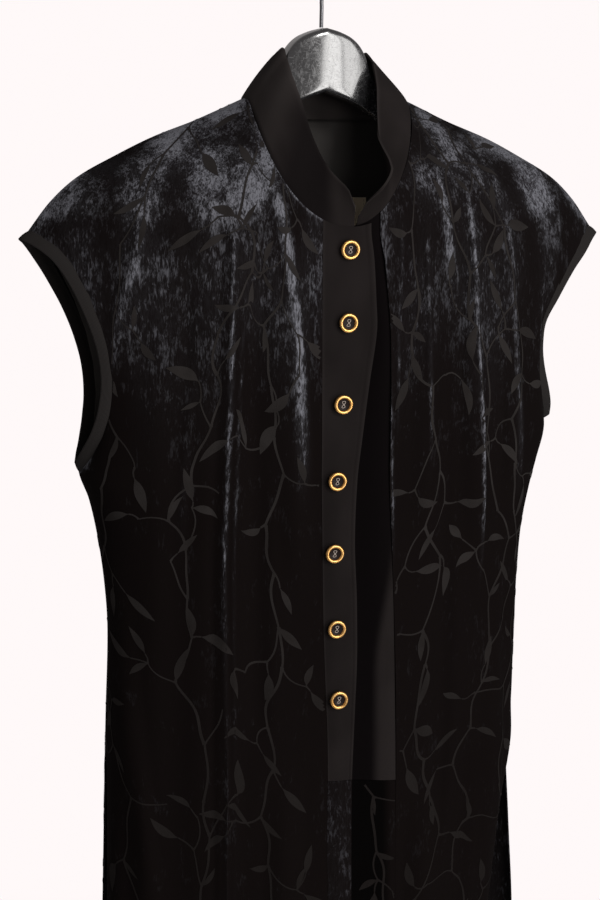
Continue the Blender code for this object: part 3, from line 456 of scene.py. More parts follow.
def middle_off(face, top_out, drop):
    """Depth of the body at its middle, rounded over from the shoulder's ridge."""
    ridge = read(SHOULDER, "drop", top_out, "out")
    height = read(SHOULDER, "front_round" if face == FRONT else "back_round", top_out, "out")
    t = np.clip((drop - ridge) / height, 0.0, 1.0)
    rounding = (1 - (1 - t) ** SHOULDER_POWER) ** (1 / SHOULDER_POWER)
    return rounding * read(SIDES, "front_depth" if face == FRONT else "back_depth", drop)


def row_drop(top_drop, row):
    """The drop of a place on a row: row 0 is the top edge, 1 the underarm, 2 the hem."""
    edge_drop = armhole_column(RIGHT, "drop", row)
    first = ARMHOLE_RIGHT[0].drop
    upper = mix(top_drop, UNDERARM_DROP, (edge_drop - first) / (UNDERARM_DROP - first))
    return np.where(row > 1, mix(UNDERARM_DROP, HEM_DROP, row - 1), upper)


def column_place(side, face, column, row):
    """Where a column lies from the inner (0) to the outer (1) edge; columns crowd round the neck's turn."""
    inner, outer = inner_edge(side, face, 0.0), ARMHOLE_RIGHT[0].front_out
    neck_top = (NECK_HALF - inner) / (outer - inner)
    near = np.clip(column / NECK_SHARE, 0, 1)
    turn = math.pi / 2 * (1 - (1 - near) ** 1.5)
    inside = mix(neck_top * np.sin(turn), NECK_SPREAD * near, step(row))
    along = np.sin(math.pi / 2 * np.clip((column - NECK_SHARE) / (1 - NECK_SHARE), 0, 1))
    beyond = mix(mix(neck_top, 1.0, along), mix(NECK_SPREAD, 1.0, along), step(row))
    return np.where(column < NECK_SHARE, inside, beyond)


def body_points(side, face, column, row):
    """Points of the body's outer surface for arrays of columns 0..1 and rows 0..2."""
    column, row = np.broadcast_arrays(np.asarray(column, float), np.asarray(row, float))
    out_edge, off_edge, edge_drop = outer_edge(side, face, row)
    inner_top, outer_top = inner_edge(side, face, 0.0), ARMHOLE_RIGHT[0].front_out
    top_out = mix(inner_top, outer_top, column_place(side, face, column, 0.0))
    place = column_place(side, face, column, row)
    drop = row_drop(top_of(side, face, top_out), row)
    drop = drop + (edge_drop - outer_edge(RIGHT, face, row)[2]) * place**2
    out = mix(inner_top, outer_top, place) + (out_edge - outer_top) * place**2
    out = out + (inner_edge(side, face, drop) - inner_top) * (1 - place) ** 2
    turn = step((row - SECTION_TURN[0]) / SECTION_TURN[1])
    share = np.clip(out / out_edge, 0.0, 1.0)
    squareness, power = (mix(a, b, turn) for a, b in zip(SECTION_YOKE, SECTION_BODY))
    fullness = np.clip(1 - share**squareness, 0, 1) ** (1 / power)
    off = mix(off_edge, middle_off(face, np.minimum(out, outer_top), drop), fullness)
    off = off + fold_height(face, side * out, drop) * fullness**0.5
    return np.stack([side * out, face * (off + SEAM / 2), NECK_Z - drop], -1)


# ---------------------------------------------------------------- grids and shells


def unit(vectors):
    """Vectors of the same directions with length 1."""
    return vectors / np.maximum(np.linalg.norm(vectors, axis=-1, keepdims=True), 1e-9)


def grid_normals(points, towards):
    """Normals of a grid of points, turned to the side that the given direction points to."""
    across = np.gradient(points, axis=1)
    down = np.gradient(points, axis=0)
    normals = unit(np.cross(across, down))
    if (normals * towards).sum(-1).mean() < 0:
        normals = -normals
    return normals


def panel_columns(count_neck, count_body):
    """Columns of a panel, with their own spacing under the neckline."""
    near = np.linspace(0, NECK_SHARE, count_neck, endpoint=False)
    return np.concatenate([near, np.linspace(NECK_SHARE, 1, count_body)])


def panel_rows(upper, lower):
    """Rows closest together at the shoulder seam and the underarm."""
    t = np.linspace(0, 1, upper)
    yoke = t - 0.04 * np.sin(2 * math.pi * t)
    yoke[0], yoke[-1] = 0, 1
    return np.concatenate([yoke, np.linspace(1, 2, lower)[1:]])


def wrinkle(points, strength, scale):
    """Small uneven waves of the cloth, as distances along its normal."""
    flat = points.reshape(-1, 3)
    waves = [noise.noise(Vector((p[0] * scale, p[1] * scale, p[2] * scale * 0.3))) for p in flat]
    return strength * np.array(waves).reshape(points.shape[:-1])


Panel = namedtuple("Panel", "points normals shine")


def make_panel(side, face, columns, rows):
    """The velvet's outer surface with its creases: points, normals and the sheen painted into its colour."""
    points = body_points(side, face, columns[None, :], rows[:, None])
    normals = grid_normals(points, np.array([0.0, face, 0.3]))
    x, drop = points[..., 0], drop_of(points)
    height, shine, sheen_left_by_shade = crease_at(face, x, drop)
    uneven = wrinkle(points, UNEVEN, 22.0)
    inset = np.minimum(1.0, np.abs(points[..., 1]) / 0.012)
    moved = points + normals * ((height + uneven) * inset)[..., None]
    patchy = np.clip(0.85 + wrinkle(points, 1.1, 26.0), 0.35, 1.25)
    # Painted sheen: the shoulders' tops, facing up towards the light, are painted lighter; dark creases paint
    # shade over it.
    inner = mix(*SHOULDER_SHINE[side], step((np.abs(x) - 0.120) / 0.06))
    shine = np.maximum(shine, inner * step((normals[..., 2] - 0.12) / 0.30) * patchy) * sheen_left_by_shade
    # Painted glints on the chest, and the painted sheen made weaker down the vest.
    shine = np.maximum(shine, CHEST_SHINE * patchy * (1 - step((drop - 0.13) / 0.26)))
    shine = shine * read(SHINE_FALL, "share", drop)
    # Painted light on the back beside its slits.
    if face == BACK:
        beside_slit = step((drop - 0.60) / 0.06) * step((np.abs(x) - 0.150) / 0.03)
        shine = np.maximum(shine, SLIT_SHINE * beside_slit)
    # A painted sheen line along the front's neck seam; behind, the painted sheen is taken off along it.
    edge = np.linalg.norm(points - points[:1], axis=-1)
    in_neck = np.broadcast_to((columns <= NECK_SHARE)[None, :], edge.shape)
    seam_edge = np.exp(-((edge / NECK_SEAM_WIDTH) ** 2)) * in_neck
    shine = np.maximum(shine, SEAM_SHINE[side] * seam_edge) if face == FRONT else shine * (1 - seam_edge)
    return Panel(moved, normals, shine)


def flat_lengths(points):
    """Lengths along the cloth from its inner edge and down from its neck point, in metres."""
    across = np.linalg.norm(np.diff(points, axis=1), axis=-1)
    down = np.linalg.norm(np.diff(points, axis=0), axis=-1)
    s = np.concatenate([np.zeros((points.shape[0], 1)), np.cumsum(across, 1)], 1)
    t = np.concatenate([np.zeros((1, points.shape[1])), np.cumsum(down, 0)], 0)
    return s, t + (NECK_Z - points[0, :, 2])[None, :]


def linked(name, data):
    """A new object in the scene."""
    obj = bpy.data.objects.new(name, data)
    bpy.context.scene.collection.objects.link(obj)
    return obj


def new_piece(name, data, material, slot, *nodes):
    """A visible piece of the one body, which stands for the solids named last."""
    data.materials.append(material)
    obj = linked(name, data)
    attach(obj, "root")
    if nodes:
        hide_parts(*nodes)
    return obj


def close_mesh(mesh, *caps):
    """Adds the end faces, given by their corners' numbers, and turns all faces outwards."""
    made = bmesh.new()
    made.from_mesh(mesh)
    made.verts.ensure_lookup_table()
    for corners in caps:
        made.faces.new([made.verts[k] for k in corners])
    bmesh.ops.recalc_face_normals(made, faces=made.faces)
    made.to_mesh(mesh)
    made.free()
    mesh.shade_smooth()


def rim_faces(line, size, flip, ring):
    """The faces along one edge of a wall, between its outer and its inner layer."""
    nexts = np.roll(line, -1)
    if not ring:
        line, nexts = line[:-1], nexts[:-1]
    quad = np.stack([line, line + size, nexts + size, nexts], 1)
    return quad[:, ::-1] if flip else quad


def grid_mesh(name, layers, ring_rows=False, ring_columns=False, uv=None, **tones):
    """A mesh of one open grid, or a closed wall between two; tones are values at its points."""
    rows, columns = layers[0].shape[:2]
    verts = np.concatenate([layer.reshape(-1, 3) for layer in layers])
    size = rows * columns
    i = np.arange(rows if ring_rows else rows - 1)[:, None]
    j = np.arange(columns if ring_columns else columns - 1)[None, :]
    next_i, next_j = (i + 1) % rows, (j + 1) % columns
    corners = (i * columns + j, i * columns + next_j, next_i * columns + next_j, next_i * columns + j)
    faces = np.stack([corner.ravel() for corner in corners], 1)
    if len(layers) == 2:
        faces = np.concatenate([faces, faces[:, ::-1] + size])
        top, left = np.arange(columns), np.arange(rows) * columns
        if not ring_rows:
            foot = rim_faces(size - columns + top, size, True, ring_columns)
            faces = np.concatenate([faces, rim_faces(top, size, False, ring_columns), foot])
        if not ring_columns:
            right = rim_faces(left + columns - 1, size, False, ring_rows)
            faces = np.concatenate([faces, rim_faces(left, size, True, ring_rows), right])
    mesh = bpy.data.meshes.new(name)
    mesh.from_pydata(verts.tolist(), [], faces.tolist())
    if uv is not None:
        layer = mesh.uv_layers.new(name="cloth")
        points = np.zeros(len(mesh.loops), int)
        mesh.loops.foreach_get("vertex_index", points)
        layer.data.foreach_set("uv", uv.reshape(-1, 2)[points % size].ravel().astype(np.float32))
    for key, values in tones.items():
        attribute = mesh.attributes.new(key, "FLOAT", "POINT")
        attribute.data.foreach_set("value", np.resize(values, size * len(layers)).astype(np.float32))
    if len(layers) == 2:
        close_mesh(mesh)
    mesh.shade_smooth()
    mesh.set_sharp_from_angle(angle=math.radians(60))
    return mesh


def shell(name, outside, normals, wall, material, slot, *nodes, uv=None, **tones):
    """A closed thin wall of cloth under its outer surface."""
    if uv is None:
        uv = np.stack(flat_lengths(outside), -1)
    mesh = grid_mesh(name, [outside, outside - normals * wall], uv=uv, **tones)
    return new_piece(name, mesh, material, slot, *nodes)


# ---------------------------------------------------------------- materials


class Look:
    """A Principled material with the nodes that colour, roughen and bump it."""

    def __init__(self, name, colour, roughness, **constants):
        """The constants are sockets that are the same all over."""
        self.material = bpy.data.materials.new(name)
        self.material.use_nodes = True
        self.tree = self.material.node_tree
        self.sockets = self.tree.nodes["Principled BSDF"].inputs
        self.feed("Base Color", colour)
        self.feed("Roughness", roughness)
        for socket, value in constants.items():
            self.feed(socket.replace("_", " "), value)

    def feed(self, socket, value):
        """Sets a socket or links to it; a name alone means one of the Principled node's."""
        socket = self.sockets[socket] if isinstance(socket, str) else socket
        if isinstance(value, bpy.types.NodeSocket):
            self.tree.links.new(value, socket)
        else:
            socket.default_value = (*value, 1.0) if isinstance(value, tuple) else value

    def add(self, kind, **settings):
        made = self.tree.nodes.new(kind)
        for key, value in settings.items():
            setattr(made, key, value)
        return made

    def place(self, *scale):
        """The object's own coordinates, stretched where a scale is given for X, Y and Z."""
        source = self.add("ShaderNodeTexCoord").outputs["Object"]
        if not scale:
            return source
        made = self.add("ShaderNodeMapping")
        made.inputs["Scale"].default_value = scale
        self.feed(made.inputs["Vector"], source)
        return made.outputs["Vector"]

    def part(self, vector, axis):
        """One of a vector's three numbers."""
        made = self.add("ShaderNodeSeparateXYZ")
        self.feed(made.inputs[0], vector)
        return made.outputs[axis]

    def waves(self, axis, length):
        """Waves of a given length along one of the cloth's own directions."""
        cloth = self.add("ShaderNodeUVMap", uv_map="cloth").outputs["UV"]
        return self.math("SINE", self.times(self.part(cloth, axis), 2 * math.pi / length))

    def tone(self, name):
        """A value that the mesh holds at its points."""
        return self.add("ShaderNodeAttribute", attribute_name=name).outputs["Fac"]

    def noise(self, vector, scale, detail, rough, distort=0.0):
        made = self.add("ShaderNodeTexNoise")
        names = ("Scale", "Detail", "Roughness", "Distortion")
        for name, number in zip(names, (scale, detail, rough, distort)):
            made.inputs[name].default_value = number
        self.feed(made.inputs["Vector"], vector)
        return made.outputs["Fac"]

    def math(self, operation, *values, clamp=False):
        made = self.add("ShaderNodeMath", operation=operation, use_clamp=clamp)
        for socket, value in zip(made.inputs, values):
            self.feed(socket, value)
        return made.outputs[0]

    def times(self, a, b, clamp=False):
        return self.math("MULTIPLY", a, b, clamp=clamp)

    def plus(self, a, b):
        return self.math("ADD", a, b)

    def ranged(self, value, low, high, to_low=0.0, to_high=1.0):
        made = self.add("ShaderNodeMapRange", interpolation_type="SMOOTHSTEP")
        names = ("From Min", "From Max", "To Min", "To Max")
        for name, number in zip(names, (low, high, to_low, to_high)):
            made.inputs[name].default_value = number
        self.feed(made.inputs["Value"], value)
        return made.outputs["Result"]

    def mixed(self, amount, a, b):
        """Between two numbers, or between two colours."""
        colours = isinstance(a, tuple) or a.type == "RGBA"
        made = self.add("ShaderNodeMix", data_type="RGBA" if colours else "FLOAT")
        first = 6 if colours else 2
        self.feed(made.inputs["Factor"], amount)
        self.feed(made.inputs[first], a)
        self.feed(made.inputs[first + 1], b)
        return made.outputs[2 if colours else 0]

    def bump(self, height, strength, distance):
        made = self.add("ShaderNodeBump")
        made.inputs["Strength"].default_value = strength
        made.inputs["Distance"].default_value = distance
        self.feed(made.inputs["Height"], height)
        self.feed("Normal", made.outputs["Normal"])


def velvet_material():
    """Crushed velvet: nearly black, with a blue grey sheen painted into its colour in wisps, crumbs and
    streaks.
    """
    look = Look("velvet", (0.004, 0.003, 0.003), 0.9, Specular_IOR_Level=0.02)
    patches = look.noise(look.place(1.0, 1.0, 0.55), 44.0, 4.0, 0.6, 0.9)
    crumbs = look.noise(look.place(1.0, 1.0, 0.42), 160.0, 5.0, 0.65, 0.8)
    fibres = look.noise(look.place(1.0, 1.0, 0.20), 640.0, 3.0, 0.6, 1.0)
    wisps = look.noise(look.place(0.30, 1.0, 1.0), 120.0, 4.0, 0.65, 0.8)
    # On the shoulders' tops the pile is brushed along the shoulder, and elsewhere down the vest.
    on_top = look.ranged(look.part(look.add("ShaderNodeNewGeometry").outputs["Normal"], "Z"), 0.20, 0.75)
    drawn = look.mixed(look.times(on_top, 0.65), crumbs, wisps)
    coarse = look.plus(look.times(patches, 0.34), look.times(drawn, 0.38))
    pile = look.plus(coarse, look.times(fibres, 0.28))
    # The more painted sheen the mesh holds, the more of the pile rises over the threshold, and the brighter
    # its painted colour.
    shine = look.tone("shine")
    risen = look.plus(look.ranged(pile, 0.37, 0.63), look.times(shine, 0.95))
    bright = look.times(look.ranged(risen, 0.80, 1.72), look.ranged(shine, 0.0, 0.9, 0.22, 1.0))
    haze = look.times(look.math("POWER", shine, 1.6), 0.16)
    grain = look.ranged(fibres, 0.36, 0.62, 0.42, 1.10)
    amount = look.times(look.plus(bright, haze), grain, clamp=True)
    # The painted sheen's blue grey over the black pile, and painted shade, nearly black, where the mesh's
    # shade tone is set.
    lit = look.mixed(amount, (0.0043, 0.0031, 0.0030), (0.128, 0.130, 0.148))
    look.feed("Base Color", look.mixed(look.tone("shade"), lit, (0.0012, 0.0010, 0.0010)))
    look.feed("Roughness", look.ranged(amount, 0.0, 1.0, 0.95, 0.60))
    look.bump(pile, 0.30, 0.0010)
    return look.material


def burnt_out_material():
    """The matt ground where the pile is burnt away in leaves and stems, lighter at the top and darker further
    down.
    """
    look = Look("burnt_out_ground", (0.018, 0.016, 0.015), 0.95, Specular_IOR_Level=0.04)
    patchy = look.noise(look.place(), 30.0, 3.0, 0.5)
    threads = look.noise(look.place(1.0, 1.0, 0.35), 1500.0, 2.0, 0.5)
    # Lighter towards the top and darker further down the vest, unevenly in patches.
    uneven_tone = look.ranged(look.part(look.place(), "Z"), -0.90, -0.42, 0.22, 1.0)
    uneven_tone = look.times(uneven_tone, look.ranged(patchy, 0.3, 0.7, 0.55, 1.15))
    look.feed("Base Color", look.mixed(uneven_tone, (0.0076, 0.0062, 0.0058), (0.0190, 0.0168, 0.0162)))
    look.bump(threads, 0.4, 0.0002)
    return look.material


def crepe_material(name, dark, light):
    """Plain crepe: a fine pebbled weave, with painted light where the mesh's shine tone is set, and painted
    shade, down to nearly black, where its shade tone is set (also used for a dark seam line).
    """
    look = Look(name, light, 0.9, Specular_IOR_Level=0.04)
    slow = look.noise(look.place(1.0, 1.0, 0.5), 22.0, 2.0, 0.5)
    pebble = look.noise(look.place(), 2100.0, 2.0, 0.7)
    tone = look.plus(look.times(slow, 0.7), look.times(pebble, 0.3))
    plain = look.mixed(look.ranged(tone, 0.35, 0.65), dark, light)
    # Painted light from the mesh's shine tone; its shade tone then darkens the colour, as painted shade and
    # for the lining's dark seam.
    with_painted_light = look.mixed(look.tone("shine"), plain, (0.060, 0.053, 0.051))
    look.feed("Base Color", look.mixed(look.tone("shade"), with_painted_light, (0.0024, 0.0017, 0.0019)))
    look.bump(pebble, 0.45, 0.00025)
    return look.material


def jersey_material():
    """Rib jersey: ribs run along the binding, counted across it by its cloth coordinates."""
    look = Look("rib_jersey", (0.022, 0.020, 0.020), 0.9, Specular_IOR_Level=0.05)
    ribs, knit = look.waves("X", 0.0011), look.waves("Y", 0.0009)
    height = look.plus(ribs, look.times(knit, 0.35))
    tone = look.ranged(height, -1.35, 1.35)
    look.feed("Base Color", look.mixed(tone, (0.0125, 0.0113, 0.0110), (0.0215, 0.0193, 0.0188)))
    look.bump(height, 0.35, 0.0002)
    return look.material


def tape_material():
    """The label's woven tape, with fine threads both ways."""
    look = Look("label_tape", (0.42, 0.35, 0.25), 0.6, Specular_IOR_Level=0.3, Sheen_Weight=0.1)
    threads = look.times(look.waves("X", 0.0005), look.waves("Y", 0.0007))
    # The tape's beige is raised as painted light, since the label lies in shade inside the back.
    look.feed("Base Color", look.mixed(look.ranged(threads, -1, 1), (0.66, 0.54, 0.38), (0.84, 0.71, 0.52)))
    look.bump(threads, 0.3, 0.0001)
    return look.material


def gold_material():
    """The buttons' rims, with a little wear."""
    look = Look("gold_metal", (0.86, 0.56, 0.22), 0.25, Metallic=1.0)
    uneven_tone = look.noise(look.place(), 260.0, 2.0, 0.5)
    look.feed("Base Color", look.mixed(look.ranged(uneven_tone, 0.35, 0.65), (0.66, 0.36, 0.11), (0.78, 0.46, 0.17)))
    look.feed("Roughness", look.ranged(uneven_tone, 0.3, 0.7, 0.30, 0.40))
    return look.material


def gloss_material():
    """The hanger's glossy black, with fine scratches across one another."""
    colour, roughness = (0.012, 0.012, 0.013), 0.16
    coat = {"Coat_Weight": 1.0, "Coat_Roughness": 0.10}
    look = Look("black_lacquer", colour, roughness, Specular_IOR_Level=1.0, **coat)
    dashes = look.noise(look.place(0.8, 1.0, 0.30), 420.0, 4.0, 0.7, 1.5)
    hatching = look.noise(look.place(0.30, 1.0, 0.9), 336.0, 3.0, 0.7, 2.5)
    scratches = look.math("MAXIMUM", dashes, look.times(hatching, 0.96))
    fine = look.ranged(scratches, 0.52, 0.72)
    look.feed("Base Color", look.mixed(fine, colour, tuple(c * 2.6 + 0.01 for c in colour)))
    look.feed("Roughness", look.ranged(scratches, 0.45, 0.75, roughness, roughness + 0.28))
    look.bump(fine, 0.12, 0.0001)
    return look.material


def plain_material(name, colour, roughness, **constants):
    """A small hard piece: one colour, with faint handling marks in its roughness."""
    look = Look(name, colour, roughness, **constants)
    marks = look.noise(look.place(), 700.0, 3.0, 0.6)
    look.feed("Roughness", look.ranged(marks, 0.3, 0.7, roughness * 0.8, roughness * 1.25))
    look.bump(marks, 0.05, 0.0001)
    return look.material


VELVET = velvet_material()
BURNT_OUT = burnt_out_material()
CREPE = crepe_material("crepe", (0.0095, 0.0078, 0.0076), (0.0150, 0.0124, 0.0122))
# The lining is a lighter crepe, and its colour is also raised as painted light, since it lies in shade inside
# the back.
LINING = crepe_material("lining_crepe", (0.042, 0.039, 0.037), (0.056, 0.052, 0.050))
JERSEY = jersey_material()
TAPE = tape_material()
GOLD = gold_material()
BLACK = plain_material("black_plastic", (0.010, 0.006, 0.005), 0.42, Specular_IOR_Level=0.10)
THREAD = plain_material("button_thread", (0.30, 0.26, 0.23), 0.8)
LABEL_THREAD = plain_material("label_thread", (0.30, 0.24, 0.17), 0.7)
LACQUER = gloss_material()
STEEL = plain_material("steel_wire", (0.16, 0.16, 0.17), 0.32, Metallic=1.0)

# ---------------------------------------------------------------- the velvet panels

PANEL_ROWS = panel_rows(76, 190)
FRONT_COLUMNS = panel_columns(36, 86)
BACK_COLUMNS = panel_columns(24, 38)


def mirror_join(right, left):
    """A whole row across the back, from the right side seam to the left."""
    return np.concatenate([right[:, :0:-1], left], 1)


def velvet_shell(name, panel, node):
    return shell(name, panel.points, panel.normals, VELVET_WALL, VELVET, "velvet", node, shine=panel.shine)


front_panels = {side: make_panel(side, FRONT, FRONT_COLUMNS, PANEL_ROWS) for side in (RIGHT, LEFT)}
back_halves = {side: make_panel(side, BACK, BACK_COLUMNS, PANEL_ROWS) for side in (RIGHT, LEFT)}
back_panel = Panel(*(mirror_join(a, b) for a, b in zip(back_halves[RIGHT], back_halves[LEFT])))
front_right = velvet_shell("front_right_cloth", front_panels[RIGHT], "front_right")
front_left = velvet_shell("front_left_cloth", front_panels[LEFT], "front_left")
back = velvet_shell("back_cloth", back_panel, "back")

# ---------------------------------------------------------------- leafy vines in the burnt-out ground

VINE_LIFT = 0.00035  # how far the ground's patches stand off the pile's surface
STEM_WIDTHS = (0.0027, 0.0017)  # trunks and twigs
TRUNK_SPACING = 0.072
NODE_SPACING = 0.055
LEAF_LENGTHS = (0.024, 0.037)
LEAF_SLIM = 0.27  # width as a share of length
LEAF_APART = 0.026
WALK = 0.004


class Vines:
    """Stems and leaves drawn on a flat cut of cloth, as points across and down it in metres.

    A heading is an angle off straight down the cloth. Trunks grow down and up it by turns, swinging from side
    to side, and at each swing a twig leaves on the outside.
    """

    def __init__(self, seed, width, top, foot):
        self.random = random.Random(seed)
        self.width, self.top, self.foot = width, top, foot
        self.stems, self.leaves, self.middles = [], [], []

    def inside(self, p):
        return -0.02 < p[0] < self.width + 0.02 and self.top - 0.03 < p[1] < self.foot + 0.03

    def walk(self, start, heading, last, length, width=STEM_WIDTHS[1]):
        """A stem that turns evenly from one heading to another; gives its end."""
        points, p = [start], start
        count = max(2, round(length / WALK))
        waver, phase = self.random.uniform(0.05, 0.28), self.random.uniform(0, 2 * math.pi)
        for i in range(count):
            along = (i + 0.5) / count
            way = heading + (last - heading) * along + waver * math.sin(phase + along * length * 110)
            p = (p[0] + math.sin(way) * length / count, p[1] + math.cos(way) * length / count)
            points.append(p)
        self.stems.append((points, width * self.random.uniform(0.85, 1.15)))
        return p

    def leaf(self, start, heading, scale=1.0):
        length = self.random.uniform(*LEAF_LENGTHS) * scale
        middle = (start[0] + math.sin(heading) * length / 2, start[1] + math.cos(heading) * length / 2)
        near = any(math.dist(middle, m) < LEAF_APART * scale for m in self.middles)
        if near or not self.inside(middle):
            return False
        self.middles.append(middle)
        slim = LEAF_SLIM * self.random.uniform(0.85, 1.15)
        self.leaves.append((start, heading, length, length * slim, self.random.uniform(-0.45, 0.45)))
        return True

    def twig(self, start, heading, side, forks):
        """A side stem with a leaf at its end, which forks into shorter ones."""
        rnd = self.random
        last = heading + side * rnd.uniform(-1.1, 0.9)
        length = rnd.uniform(0.020, 0.044) if forks else rnd.uniform(0.006, 0.020)
        end = self.walk(start, heading, last, length)
        if forks == 0:
            if not self.leaf(end, last + rnd.uniform(-0.3, 0.3)):
                self.stems.pop()
            return
        if not self.inside(end):
            return
        spread = rnd.uniform(0.45, 0.8)
        self.twig(end, last + spread, 1, forks - 1 if rnd.random() < 0.4 else 0)
        self.twig(end, last - spread * rnd.uniform(0.8, 1.2), -1, 0)
        if rnd.random() < 0.45:
            self.leaf(end, last + side * rnd.uniform(1.4, 2.0), 0.75)

    def trunk(self, x, down):
        rnd = self.random
        straight = 0.0 if down else math.pi
        p = (x, self.top - rnd.uniform(0.0, 0.04) if down else self.foot + rnd.uniform(0.0, 0.04))
        side, last = rnd.choice((-1, 1)), straight
        while self.top - 0.06 < p[1] < self.foot + 0.06:
            aside = (p[0] - x) * (7.0 if down else -7.0)
            heading = mix(last, straight + side * rnd.uniform(0.1, 0.8) - aside, 0.6)
            last = straight + side * rnd.uniform(-0.4, 0.9) - aside
            p = self.walk(p, heading, last, NODE_SPACING * rnd.uniform(0.6, 1.3), STEM_WIDTHS[0])
            away = last + side * rnd.uniform(0.35, 0.85)
            self.twig(p, away, side, rnd.choice((0, 1, 1, 2)))
            if rnd.random() < 0.55:
                self.leaf(p, last - side * rnd.uniform(0.5, 1.0), rnd.uniform(0.7, 1.0))
            side = -side

    def grow(self):
        trunks = max(1, round(self.width / TRUNK_SPACING))
        for i in range(trunks):
            self.trunk((i + self.random.uniform(0.35, 0.65)) * self.width / trunks, i % 2 == 0)
        return self


def between_lines(lines, where):
    """A line of values between two neighbouring rows of a table."""
    first = min(int(where), len(lines) - 2)
    return mix(lines[first], lines[first + 1], where - first)


class Cloth:
    """Finds a point of a grid of cloth from its lengths across and down."""

    def __init__(self, points, normals):
        self.points, self.normals = points, normals
        self.s, self.t = flat_lengths(points)
        self.rows, self.columns = np.arange(points.shape[0]), np.arange(points.shape[1])

    def at(self, s, t):
        r = c = 0.0
        for _ in range(4):
            r = np.interp(t, between_lines(self.t.T, c), self.rows)
            c = np.interp(s, between_lines(self.s, r), self.columns)
        i, j = min(int(r), len(self.rows) - 2), min(int(c), len(self.columns) - 2)
        u, v = r - i, c - j
        down, across = between_lines(self.t.T, c), between_lines(self.s, r)
        kept = down[0] + 0.001 < t < down[-1] - 0.001 and 0.0003 < s < across[-1] - 0.0005
        corners = ((0, 0), (0, 1), (1, 0), (1, 1))
        p = sum(self.points[i + a, j + b] * (u if a else 1 - u) * (v if b else 1 - v) for a, b in corners)
        return p + self.normals[i, j] * VINE_LIFT, kept


LEAF_ROWS = 10
LEAF_HALF = 2  # columns on either side of its middle line


def leaf_grid(start, heading, length, width, bend):
    """A pointed leaf with a short stalk, as rows of flat points from its foot to its tip."""
    rows = []
    for i in range(LEAF_ROWS + 1):
        t = i / LEAF_ROWS
        way = heading + bend * (t - 0.3)
        middle = (start[0] + math.sin(way) * length * t, start[1] + math.cos(way) * length * t)
        body = max(t - 0.06, 0.0) / 0.94
        half = max(width / 2 * math.sin(math.pi * body**0.85) ** 0.9 if 0 < body < 1 else 0.0, 0.0002)
        side = (math.cos(way), -math.sin(way))
        rows.append([(middle[0] + side[0] * half * k / LEAF_HALF, middle[1] + side[1] * half * k / LEAF_HALF)
                     for k in range(-LEAF_HALF, LEAF_HALF + 1)])
    return rows


def stem_grid(points, width):
    """A stem as rows of two flat points, wider at its foot."""
    rows = []
    for i, p in enumerate(points):
        before, after = points[max(i - 1, 0)], points[min(i + 1, len(points) - 1)]
        way = math.atan2(after[0] - before[0], after[1] - before[1])
        half = width / 2 * (1.35 if i == 0 else 1.0 - 0.25 * i / len(points))
        side = (math.cos(way) * half, -math.sin(way) * half)
        rows.append([(p[0] - side[0], p[1] - side[1]), (p[0] + side[0], p[1] + side[1])])
    return rows


def add_vines(name, points, normals, seed, face=FRONT):
    """One mesh of thin patches for a panel's vines, cut off where they run out over its edges."""
    cloth = Cloth(points, normals)
    width = float(np.median(cloth.s[:, -1]))
    vines = Vines(seed, width, float(cloth.t[0].min()) + 0.01, float(cloth.t[-1].max())).grow()
    made = bmesh.new()
    for grid in [leaf_grid(*leaf) for leaf in vines.leaves] + [stem_grid(*stem) for stem in vines.stems]:
        found = [[cloth.at(s, t) for s, t in row] for row in grid]
        verts = [[made.verts.new(p) for p, _ in row] for row in found]
        for i in range(len(grid) - 1):
            for j in range(len(grid[0]) - 1):
                corners = ((i, j), (i, j + 1), (i + 1, j + 1), (i + 1, j))
                if all(found[a][b][1] for a, b in corners):
                    made.faces.new([verts[a][b] for a, b in corners])
    bmesh.ops.delete(made, geom=[v for v in made.verts if not v.link_faces], context="VERTS")
    for f in made.faces:
        f.normal_update()
        if f.normal.y * face < 0:
            f.normal_flip()
    mesh = bpy.data.meshes.new(name)
    made.to_mesh(mesh)
    made.free()
    mesh.shade_smooth()
    return new_piece(name, mesh, BURNT_OUT, "velvet")


vines_right = add_vines("vines_front_right", *front_panels[RIGHT][:2], 11)
vines_left = add_vines("vines_front_left", *front_panels[LEFT][:2], 23)
vines_back = add_vines("vines_back", *back_panel[:2], 37, BACK)

# ---------------------------------------------------------------- the bands down the front edges

BAND_END_ROW = 1 + (BAND_END_DROP - UNDERARM_DROP) / (HEM_DROP - UNDERARM_DROP)
LEFT_END_ROW = BAND_END_ROW + UNDERLAP_LONGER / (HEM_DROP - UNDERARM_DROP)
# Painted highlight along the right band's folded edges.
EDGE_GLEAM = 0.10  # of the right band's folded edges


def band_points(row, t):
    """The right band's outer surface, from the right front's seam (0) to its free edge (1)."""
    row, t = np.broadcast_arrays(row, t)
    top_x = mix(OPENING[0].right_seam, OPENING[0].free_edge, t)
    drop = row_drop(top_of(RIGHT, FRONT, np.abs(top_x)), row)
    seam_x = read(OPENING, "right_seam", drop) + SEAM
    x = mix(seam_x, read(OPENING, "free_edge", drop), t)
    crown = BAND_BULGE * np.sin(math.pi / 2 * np.minimum(t / BAND_CROWN, 1.0))
    off = middle_off(FRONT, np.abs(top_x), drop) + crown * step((drop - NECK_FRONT_DROP) / BAND_BULGE_OVER)
    off = off + fold_height(FRONT, seam_x, drop) * (1 - t)
    return np.stack([x, -off, NECK_Z - drop], -1)


